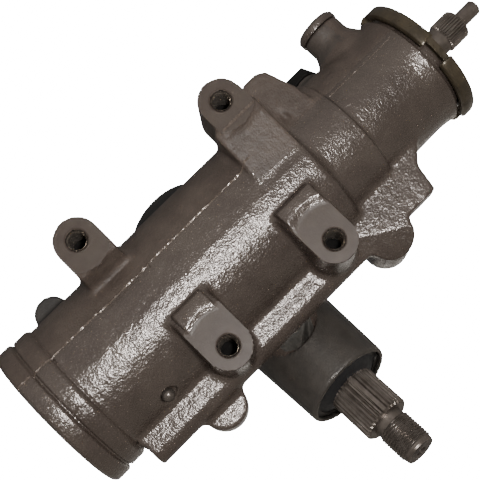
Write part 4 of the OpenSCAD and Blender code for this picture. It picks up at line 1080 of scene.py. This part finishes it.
@dataclass
class ScrewThread:
    """A vee thread drawn as one skin: its ridge winds along a line, and fades out at both ends."""

    name: str
    body: str
    slot: str
    finish: Finish
    axis: Axis
    length_mm: float
    wall_mm: float
    ridge_mm: float
    pitch_mm: float = 1.81
    fade_mm: float = 1.4
    sides: int = 40
    rings_per_pitch: int = 6
    flank: float = 1.25
    root_flat: float = 0.1
    hard_deg: float = 40.0

    def build(self) -> Object:
        """Builds the thread.

        Returns:
            The thread.
        """
        count = int(self.length_mm / self.pitch_mm * self.rings_per_pitch) + 1
        along = np.linspace(0, self.length_mm, count)
        angle = full_turn(self.sides)
        turn = (along[:, None] / self.pitch_mm - angle[None] / (2 * math.pi)) % 1
        height = np.clip(self.flank * (1 - np.abs(2 * turn - 1)) - self.root_flat, 0, 1)
        fade = np.clip(np.minimum(along, self.length_mm - along) / self.fade_mm, 0, 1)
        radius = self.wall_mm + self.ridge_mm * height * fade[:, None]
        mesh = sleeve(self.name, self.axis, radius, angle, along, self.hard_deg)
        if self.ridge_mm < 0:
            mesh.flip_normals()
        return new_object(self.name, mesh, self.body, self.finish)


@dataclass
class Serrations:
    """Straight teeth round a shaft end, with wide lands where the arm is keyed."""

    name: str
    body: str
    axis: Axis
    length_mm: float
    tip_mm: float
    root_mm: float
    teeth: int
    lands: int = 0
    turn_deg: float = 0.0
    bevel_mm: float = 1.2
    bevel_drop_mm: float = 0.1
    # Shares of a pitch from a tooth's middle to the end of its tip and to its root.
    tip_share: float = 0.16
    root_share: float = 0.44
    hard_deg: float = 20.0

    def build(self) -> Object:
        """Builds the teeth.

        Returns:
            The toothed sleeve.
        """
        step = 2 * math.pi / self.teeth
        corners = ((-self.root_share, False), (-self.tip_share, True),
                   (self.tip_share, True), (self.root_share, False))
        angles, radii = [], []
        for tooth in range(self.teeth):
            land = self.lands > 0 and tooth % (self.teeth // self.lands) == 0
            for share, high in corners:
                angles.append(math.radians(self.turn_deg) + (tooth + share) * step)
                radii.append(self.tip_mm if high or land else self.root_mm)
        radius = np.array(radii)
        low = np.minimum(radius, self.root_mm - self.bevel_drop_mm)
        along = np.array((0, self.bevel_mm, self.length_mm - self.bevel_mm, self.length_mm))
        mesh = sleeve(self.name, self.axis, np.stack((low, radius, radius, low)), np.array(angles), along,
                      self.hard_deg)
        return new_object(self.name, mesh, self.body, BROWN_STEEL)


def turned_shaft(name: str, body: str, solid: Solid, hard_deg: float = 24.0) -> Object:
    """Makes the piece that stands for a CAD shaft, of its points and triangles."""
    mesh = mesh_of(name, solid[0], solid[1].tolist(), hard_deg)
    return new_object(name, mesh, body, BROWN_STEEL)


@dataclass
class SectorShaft:
    """The sector shaft with sharp serrations, a true thread for the arm's nut, and the seal's dust lip."""

    serration_mm: Pair = (92.0, 119.9)
    tip_mm: float = 14.55
    root_mm: float = 13.3
    teeth: int = 32
    lands: int = 4
    turn_deg: float = -8.0
    blank_start_mm: float = 87.7
    blank_spare_mm: float = 0.1
    blank_over_mm: float = 12.9
    blank_drop_mm: float = 0.3
    thread_mm: Pair = (124.0, 142.3)
    thread_blank_mm: Pair = (121.8, 144.0)
    crest_mm: float = 10.44
    core_mm: float = 9.5
    core_drop_mm: float = 0.05
    lip_mm: tuple[Pair, ...] = (
        (21.0, 87.6), (18.6, 88.6), (15.2, 91.3), (13.2, 91.6), (13.2, 88.2))
    lip_sides: int = 72
    lip_hard_deg: float = 50.0

    def build(self, node: Object) -> None:
        """Turns the CAD shaft down where teeth and thread go, and adds both and the lip.

        Args:
            node: The CAD shaft.
        """
        points, faces = node_solid(node)
        start, end = self.serration_mm
        points = SECTOR_AXIS.narrowed(points, (self.blank_start_mm, end + self.blank_spare_mm),
                                      self.blank_over_mm, self.root_mm - self.blank_drop_mm)
        points = SECTOR_AXIS.narrowed(points, self.thread_blank_mm, self.core_mm, self.core_mm)
        shaft = turned_shaft("sector_shaft_turned", "sector", (points, faces))
        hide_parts("sector_shaft")
        Serrations("arm_serrations", "sector", SECTOR_AXIS.moved(start), end - start, self.tip_mm,
                   self.root_mm, self.teeth, self.lands, self.turn_deg).build()
        first, last = self.thread_mm
        ScrewThread("arm_nut_thread", "sector", "brown_steel", THREAD_STEEL, SECTOR_AXIS.moved(first),
                    last - first, self.core_mm - self.core_drop_mm,
                    self.crest_mm - self.core_mm + self.core_drop_mm, fade_mm=0.9, sides=56).build()
        lip = revolved("outer_seal_lip", SECTOR_AXIS, self.lip_mm, self.lip_sides, self.lip_hard_deg)
        new_object("outer_seal_lip", lip, "housing", NITRILE)


@dataclass
class StubShaft:
    """The input shaft with the fine serrations that the steering column's joint clamps on."""

    serration_mm: Pair = (180.9, 195.2)
    tip_mm: float = 9.52
    root_mm: float = 8.7
    teeth: int = 36
    blank_spare_mm: float = 0.1
    blank_over_mm: float = 8.45
    blank_mm: float = 8.4

    def build(self, node: Object) -> None:
        """Turns the CAD shaft down under the serrations and adds them.

        Args:
            node: The CAD shaft.
        """
        points, faces = node_solid(node)
        start, end = self.serration_mm
        span = (start - self.blank_spare_mm, end + self.blank_spare_mm)
        points = WORM_AXIS.narrowed(points, span, self.blank_over_mm, self.blank_mm)
        shaft = turned_shaft("stub_shaft_turned", "input", (points, faces))
        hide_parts("stub_shaft")
        Serrations("column_serrations", "input", WORM_AXIS.moved(start), end - start, self.tip_mm,
                   self.root_mm, self.teeth, bevel_mm=0.9).build()


@dataclass
class PartingFlash:
    """The thin torn ridge that the mould's joint leaves along the casting."""

    name: str
    start_mm: float = -128.6
    end_mm: float = 44.0
    step_mm: float = 0.9
    angle_deg: float = 23.2
    outside_mm: float = 70.0
    half_width_mm: float = 0.9
    height_mm: Pair = (0.1, 0.95)
    wander_mm: float = 0.2
    root_mm: float = 0.3
    hard_deg: float = 25.0
    seed: int = 7

    def build(self, skin: Object) -> Object:
        """Lays the ridge on the skin.

        Args:
            skin: The housing's skin.

        Returns:
            The ridge.
        """
        corners = [v.co / MM for v in skin.data.vertices]
        tree = BVHTree.FromPolygons(corners, [p.vertices for p in skin.data.polygons])
        chance = np.random.default_rng(self.seed)
        slope = math.radians(self.angle_deg)
        out = Vector((0, -math.cos(slope), math.sin(slope)))
        across = Vector((0, math.sin(slope), math.cos(slope)))
        points: list[Vector] = []
        for x in np.arange(self.start_mm, self.end_mm, self.step_mm):
            axis_point = Vector((x, *WORM_MM[1:]))
            spot, _, _, _ = tree.ray_cast(axis_point + out * self.outside_mm, -out)
            if spot is None:
                continue
            wander = across * chance.uniform(-self.wander_mm, self.wander_mm)
            rise = chance.uniform(*self.height_mm)
            foot = spot - out * self.root_mm
            spread = across * self.half_width_mm
            points += [foot - spread, spot + out * rise + wander, foot + spread]
        faces = []
        for k in range(0, len(points) - 3, 3):
            faces += [(k, k + 1, k + 4, k + 3), (k + 1, k + 2, k + 5, k + 4)]
        mesh = mesh_of(self.name, np.array(points), faces, self.hard_deg)
        # The ridge takes the taupe paint with a painted highlight.
        return new_object(self.name, mesh, "housing", FLASH_COAT_AND_HIGHLIGHT)


@dataclass
class Stage:
    """Camera, light and floor, with the camera where the photograph was taken from."""

    camera_mm: Triple = (-65.55, -578.9, -160.0)
    heading_deg: float = 7.11
    pitch_deg: float = 9.64
    roll_deg: float = 45.93
    lens_mm: float = 85.37
    sensor_mm: float = 36.0
    floor_drop_mm: float = 2.0
    floor_size_mm: float = 6000.0
    paper: str = "#ffffff"
    paper_strength: float = 30.0
    floor: str = "#b4b0aa"
    room: str = "#e6e3df"
    room_strength: float = 0.62
    mirrored_strength: Pair = (0.14, 0.72)
    mirrored_span: float = 0.8
    flash_up_mm: float = 21.0
    flash_right_mm: float = 93.0
    flash_size_mm: float = 60.0
    flash_watts: float = 8.8
    fill_mm: Triple = (200.0, 950.0, 170.0)
    fill_size_mm: float = 700.0
    fill_watts: float = 12.0

    def axes(self) -> tuple[Vector, Vector, Vector]:
        """Gives the camera's right, up and forward directions.

        Returns:
            Three directions, each one long.
        """
        heading, pitch, roll = (math.radians(a) for a in (self.heading_deg, self.pitch_deg, self.roll_deg))
        level_share = math.cos(pitch)
        forward = Vector((math.sin(heading) * level_share, math.cos(heading) * level_share,
                          math.sin(pitch)))
        level = forward.cross(Vector((0, 0, 1))).normalized()
        above = level.cross(forward)
        right = level * math.cos(roll) - above * math.sin(roll)
        up = level * math.sin(roll) + above * math.cos(roll)
        return right, up, forward

    def build_camera(self) -> None:
        """Makes the camera."""
        right, up, forward = self.axes()
        lens = bpy.data.cameras.new("camera")
        lens.lens = self.lens_mm
        lens.sensor_width = self.sensor_mm
        lens.sensor_fit = "HORIZONTAL"
        camera = linked("camera", lens)
        turn = Matrix((right, up, -forward)).transposed()
        camera.matrix_world = Matrix.Translation(Vector(self.camera_mm) * MM) @ turn.to_4x4()
        bpy.context.scene.camera = camera

    def add_light(
        self, name: str, place: Vector, aim: Vector, size_mm: float, watts: float
    ) -> Object:
        """Adds a square soft light.

        Args:
            name: The light's name.
            place: Where it stands, in metres.
            aim: What it points at, in metres.
            size_mm: Its width.
            watts: Its power.

        Returns:
            The light.
        """
        data = bpy.data.lights.new(name, "AREA")
        data.size = size_mm * MM
        data.energy = watts
        lamp = linked(name, data)
        turn = (aim - place).to_track_quat("-Z", "Y").to_matrix().to_4x4()
        lamp.matrix_world = Matrix.Translation(place) @ turn
        return lamp

    def build_lights(self) -> None:
        """Sets a small hard light beside the camera and a wide soft one over the far side."""
        right, up, _ = self.axes()
        lo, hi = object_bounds()
        place = Vector(self.camera_mm) * MM + up * self.flash_up_mm * MM + right * self.flash_right_mm * MM
        middle = (lo + hi) / 2
        self.add_light("flash", place, middle, self.flash_size_mm, self.flash_watts)
        behind = middle + Vector(self.fill_mm) * MM
        fill = self.add_light("fill", behind, middle, self.fill_size_mm, self.fill_watts)
        fill.visible_glossy = False

    def white_to_camera(self, tree: Tree, kind: str, others: Socket) -> Socket:
        """Mixes bright paper, which only the camera sees, with what all other rays meet.

        Args:
            tree: The node tree.
            kind: Type name of the node that glows.
            others: The shader that the other rays meet.

        Returns:
            The mixed shader's socket.
        """
        path = add_node(tree, "ShaderNodeLightPath", {})
        white = add_node(tree, kind, {"Color": linear(self.paper), "Strength": self.paper_strength})
        mix = add_node(tree, "ShaderNodeMixShader",
                       {0: path.outputs["Is Camera Ray"], 1: others, 2: white.outputs[0]})
        return mix.outputs[0]

    def build_world(self) -> None:
        """Makes a room: white to the camera, dim to the object, dark in mirrors on the far side."""
        world = bpy.data.worlds.new("studio")
        bpy.context.scene.world = world
        tree = empty_tree(world)
        path = add_node(tree, "ShaderNodeLightPath", {})
        way = add_node(tree, "ShaderNodeTexCoord", {}).outputs["Generated"]
        depth = add_node(tree, "ShaderNodeSeparateXYZ", {"Vector": way}).outputs["Y"]
        behind, before = self.mirrored_strength
        glow = add_node(tree, "ShaderNodeMapRange",
                        {"Value": depth, "From Min": -self.mirrored_span, "From Max": self.mirrored_span,
                         "To Min": before, "To Max": behind})
        room = linear(self.room)
        even = add_node(tree, "ShaderNodeBackground", {"Color": room, "Strength": self.room_strength})
        mirrored = add_node(tree, "ShaderNodeBackground",
                            {"Color": room, "Strength": glow.outputs["Result"]})
        dim = add_node(tree, "ShaderNodeMixShader",
                       {0: path.outputs["Is Glossy Ray"], 1: even.outputs[0], 2: mirrored.outputs[0]})
        seen = self.white_to_camera(tree, "ShaderNodeBackground", dim.outputs[0])
        add_node(tree, "ShaderNodeOutputWorld", {"Surface": seen})

    def build_floor(self) -> None:
        """Lays a pale floor under the object, as bright to the camera as the room behind it."""
        lo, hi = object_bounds()
        half = self.floor_size_mm * MM / 2
        middle = (lo + hi) / 2
        z = lo.z - self.floor_drop_mm * MM
        mesh = bpy.data.meshes.new("floor")
        ways = ((-1, -1), (1, -1), (1, 1), (-1, 1))
        corners = [(middle.x + sx * half, middle.y + sy * half, z) for sx, sy in ways]
        mesh.from_pydata(corners, [], [(0, 1, 2, 3)])
        floor = linked("floor", mesh)
        floor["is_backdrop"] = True
        paper = bpy.data.materials.new("matt_white_paper")
        tree = empty_tree(paper)
        matt = add_node(tree, "ShaderNodeBsdfDiffuse", {"Color": linear(self.floor)})
        seen = self.white_to_camera(tree, "ShaderNodeEmission", matt.outputs[0])
        add_node(tree, "ShaderNodeOutputMaterial", {"Surface": seen})
        mesh.materials.append(paper)


@dataclass
class Gear:
    """The whole gear: dresses the solids and adds the modelled pieces."""

    frame: dict
    bevel_mm: float = 0.25
    bevel_from_deg: float = 32.0
    hole_start_mm: float = 0.4
    hole_depth_mm: float = 23.0
    hole_mm: float = 5.55
    hole_ridge_mm: float = 0.75
    mouth_mm: tuple[Pair, ...] = (
        (7.4, 0.02), (7.3, -0.05), (6.75, -0.05), (5.65, 1.1), (5.6, 2.4))
    mouth_sides: int = 64
    mouth_hard_deg: float = 30.0

    def dress_nodes(self) -> None:
        """Gives each CAD node the finish of its record slot, or its own, which for the seal washers is
        partly painted shade.
        """
        for part in self.frame["record"]["subparts"]:
            name = part["node"]
            node = self.frame["nodes"][name]
            finish = NODE_COAT_AND_SHADE.get(name, SLOT_FINISH[part["material_slot"]])
            node.data.materials.clear()
            node.data.materials.append(finish.material())
            LOG.info("node %s: %s", name, finish.name)

    def break_edges(self, names: Sequence[str]) -> None:
        """Welds the named nodes and bevels their sharp edges, so that the edges catch light.

        Args:
            names: The nodes that can be seen from outside.
        """
        for name in names:
            node = self.frame["nodes"][name]
            weld = node.modifiers.new("weld", "WELD")
            weld.merge_threshold = WELD_M
            bevel = node.modifiers.new("broken_edges", "BEVEL")
            bevel.width = self.bevel_mm * MM
            bevel.segments = 2
            bevel.limit_method = "ANGLE"
            bevel.angle_limit = math.radians(self.bevel_from_deg)
            bevel.harden_normals = True

    def tap_holes(self) -> None:
        """Cuts the threads of the four frame bolt holes and chamfers their mouths."""
        inward = (0, 1, 0)
        for place, (x, z) in FRAME_HOLES.items():
            name = f"{place}_hole_mouth"
            mouth = revolved(name, Axis((x, 0.0, z), inward), self.mouth_mm, self.mouth_sides,
                             self.mouth_hard_deg)
            mouth.flip_normals()
            new_object(name, mouth, "housing", MILLED_PAINT)
            ScrewThread(f"{place}_hole_thread", "housing", "cast_paint", TAPPED_IRON,
                        Axis((x, self.hole_start_mm, z), inward), self.hole_depth_mm, self.hole_mm,
                        -self.hole_ridge_mm).build()

    def build(self) -> None:
        """Builds every piece in order."""
        self.dress_nodes()
        self.break_edges(VISIBLE_NODES)
        nodes = self.frame["nodes"]
        housing = CastHousing()
        skin = housing.build(nodes["housing"])
        PartingFlash("cylinder_flash").build(skin)
        PartingFlash("neck_flash", 100.0, 149.0, angle_deg=24.5, half_width_mm=0.7,
                     height_mm=(0.05, 0.35), seed=9).build(skin)
        PartingFlash("lug_flash", 42.0, 66.0, angle_deg=37.4, half_width_mm=1.4,
                     height_mm=(0.2, 0.9), seed=3).build(skin)
        SectorShaft().build(nodes["sector_shaft"])
        StubShaft().build(nodes["stub_shaft"])
        self.tap_holes()


def main() -> None:
    """Loads the frame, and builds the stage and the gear."""
    logging.basicConfig(level=logging.INFO, format="%(name)s: %(message)s")
    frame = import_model()
    stage = Stage()
    stage.build_camera()
    stage.build_lights()
    stage.build_world()
    stage.build_floor()
    Gear(frame).build()


if __name__ == "__main__":
    main()
